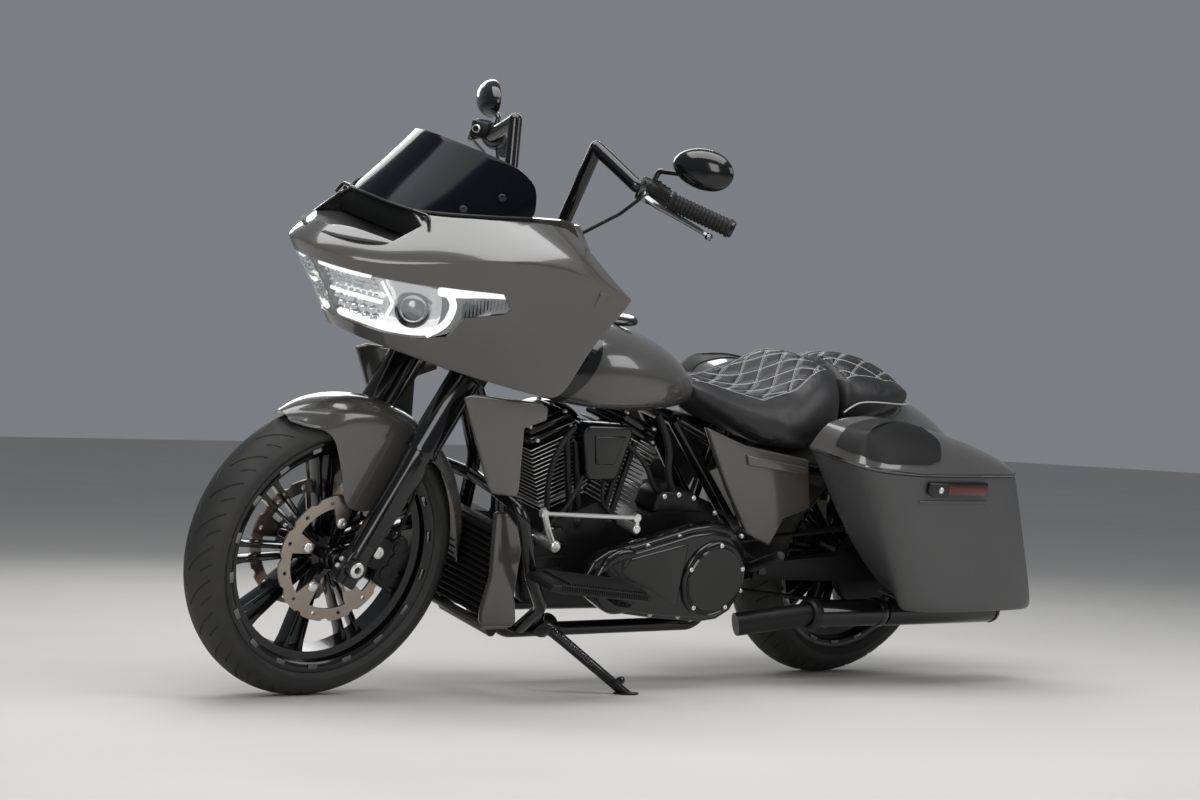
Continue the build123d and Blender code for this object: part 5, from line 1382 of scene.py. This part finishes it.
MIRROR, MIRROR_HALF_WIDTH, MIRROR_HALF_HEIGHT = Vector((1082, 410, 1358)), 78, 47
TOE_IN = math.radians(22)
view_back = Vector((-math.cos(TOE_IN), -math.sin(TOE_IN), 0))
wide = Vector((-view_back.y, view_back.x, 0))
turn = Matrix((wide, Vector((0, 0, 1)), view_back)).transposed().to_4x4()
shell_rows = []
for depth, size in ((-20, 0.02), (-19, 0.34), (-14, 0.62), (-4, 0.86), (8, 0.97), (16, 1.0), (17.5, 0.96),
                    (14, 0.92)):
    ring = []
    for step in range(28):
        angle = math.tau * step / 28
        tall = MIRROR_HALF_HEIGHT * size * math.sin(angle) * (1 - 0.08 * math.cos(angle))
        ring.append(Vector((MIRROR_HALF_WIDTH * size * math.cos(angle), tall, depth)))
    shell_rows.append(ring)
shell_rows.append([Vector((0, 0, 14))] * 28)
shell = sheet(shell_rows, levels=1, closed=True)
shell.data.transform(Matrix.Translation(MIRROR) @ turn)
stem_foot = Vector((1117.7, 305, 1305.6))
stem_turn = Vector((1113.5, 309, 1331))
stem = tube([stem_foot, stem_turn, MIRROR + wide * 30 - Vector((0, 0, 18))], 6.5, bend=10, sides=3)
fit(both_sides(join(shell, stem)), "mirror_housings", black_gloss, "mirrors", body="steering", smooth=50)
pick_up()
bpy.ops.mesh.primitive_circle_add(vertices=36, radius=1, fill_type="NGON")
pane = bpy.context.object
pane.data.transform(
    Matrix.Translation(MIRROR) @ turn @ Matrix.Translation((0, 0, 14.6)) @ Matrix.Diagonal((71, 43, 1, 1)))
fit(both_sides(pane), "mirror_glass", dark_chrome, body="steering")

# ======== Side stand, tail and right side ========

PIVOT, FOOT = Vector((1052, 150, 201)), Vector((871, 278, 67))
leg = (FOOT - PIVOT).normalized()
toe = PIVOT.lerp(FOOT, 0.82)
stand_parts = [turned([(-24, 0), (-24, 20), (-20, 23), (20, 23), (24, 20), (24, 0)], PIVOT, (0, 1, 1), 32,
                      1),
               tube([PIVOT, PIVOT + leg * 60, FOOT], 13, sides=4, taper=lambda t: 1.15 - 0.25 * t),
               tube([toe, toe + Vector((4, 34, 16))], 6, sides=3),
               turned([(0, 0), (0, 9), (10, 9), (12, 6), (12, 0)], toe + Vector((4, 32, 15)),
                      (0.1, 0.9, 0.4), 24)]
fit(join(*stand_parts), "stand_leg", black_gloss, body="side_stand")
ground = Vector((0, math.sin(LEAN), math.cos(LEAN)))
pad = turned([(-3, 0), (-3, 26), (0, 29), (4, 29), (7, 25), (9, 0)], FOOT - ground * 9, ground, 36)
fit(pad, "stand_foot", dark_chrome, body="side_stand")
SPRING_TURNS, SPRING_STEPS = 22, 22 * 12
coil_line = []
for step in range(SPRING_STEPS + 1):
    t = step / SPRING_STEPS
    angle = math.tau * SPRING_TURNS * t
    spot = PIVOT + leg * (18 + 120 * t) + Vector((8, 22, 6))
    coil_line.append(spot + Vector((0, math.cos(angle), math.sin(angle))) * 6.5)
fit(wires([coil_line], 1.5), "stand_spring", dark_chrome, body="side_stand", slot="steel")

lens = slab([(-436, 500), (-436, 540), (-450, 540), (-461, 530), (-461, 510), (-450, 500)], -62, 62,
            bevel=5, segments=3)
fit(lens, "tail_lens", red_lens)
plate = slab([(-436, 376), (-436, 496), (-439, 496), (-439, 376)], -104, 104, bevel=0.8)
fit(plate, "licence_plate", white_plate, "tail_lamp")
carrier = [slab([(-426, 370), (-426, 548), (-435, 548), (-435, 370)], -58, 58, bevel=3),
           tube([(-434, 0, 500), (-384, 0, 500)], 12, sides=4)]
fit(join(*carrier), "plate_carrier", black_satin)
lamps = []
for side in SIDES:
    lamps.append(turned([(-14, 0), (-10, 16), (0, 20), (10, 20), (12, 17), (12, 0)], (-448, side * 96, 500),
                        (-1, 0, 0), 32, 1))
fit(join(*lamps), "rear_signals", red_lens)
arms = [tube([(-430, side * 96, 500), (-436, side * 96, 480)], 6, sides=3) for side in SIDES]
INTAKE_X, INTAKE_Z, INTAKE_SQUASH = 940, 592, 0.72
cleaner = turned([(0, 0), (0, 116), (8, 122), (46, 118), (58, 104), (62, 60), (60, 0)],
                 (INTAKE_X, -120, INTAKE_Z), (0, -1, 0), 56, 1)
squash = Matrix.Translation((INTAKE_X, 0, INTAKE_Z)) @ Matrix.Diagonal((1, 1, INTAKE_SQUASH, 1))
cleaner.data.transform(squash @ Matrix.Translation((-INTAKE_X, 0, -INTAKE_Z)))
ring = turned([(62, 60), (66, 62), (66, 74), (61, 78)], (INTAKE_X, -120, INTAKE_Z), (0, -1, 0), 48)
neck = tube([(940, -74, 596), (940, -122, 592)], 34, sides=5)
fit(join(cleaner, ring, neck, *arms), "intake_cover", black_gloss, "air_cleaner", smooth=50)
shock_parts = []
for side in SIDES:
    top, low = Vector((172, side * 185, 583)), Vector((40, side * 185, 362))
    run = (top - low).normalized()
    shock_parts.append(turned([(0, 0), (0, 12), (90, 12), (90, 22), (96, 24), (230, 24), (240, 18),
                               (254, 12), (254, 0)], low, run, 32))
    for start in range(20, 90, 7):
        shock_parts.append(turned([(start, 12), (start, 19), (start + 4, 19), (start + 4, 12)], low, run,
                                  28))
    for place in (top, low):
        shock_parts.append(turned([(-13, 0), (-13, 15), (13, 15), (13, 0)], place, ACROSS, 28, 1))
fit(join(*shock_parts), "shock_absorbers", black_satin, "rear_shocks")

low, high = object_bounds()
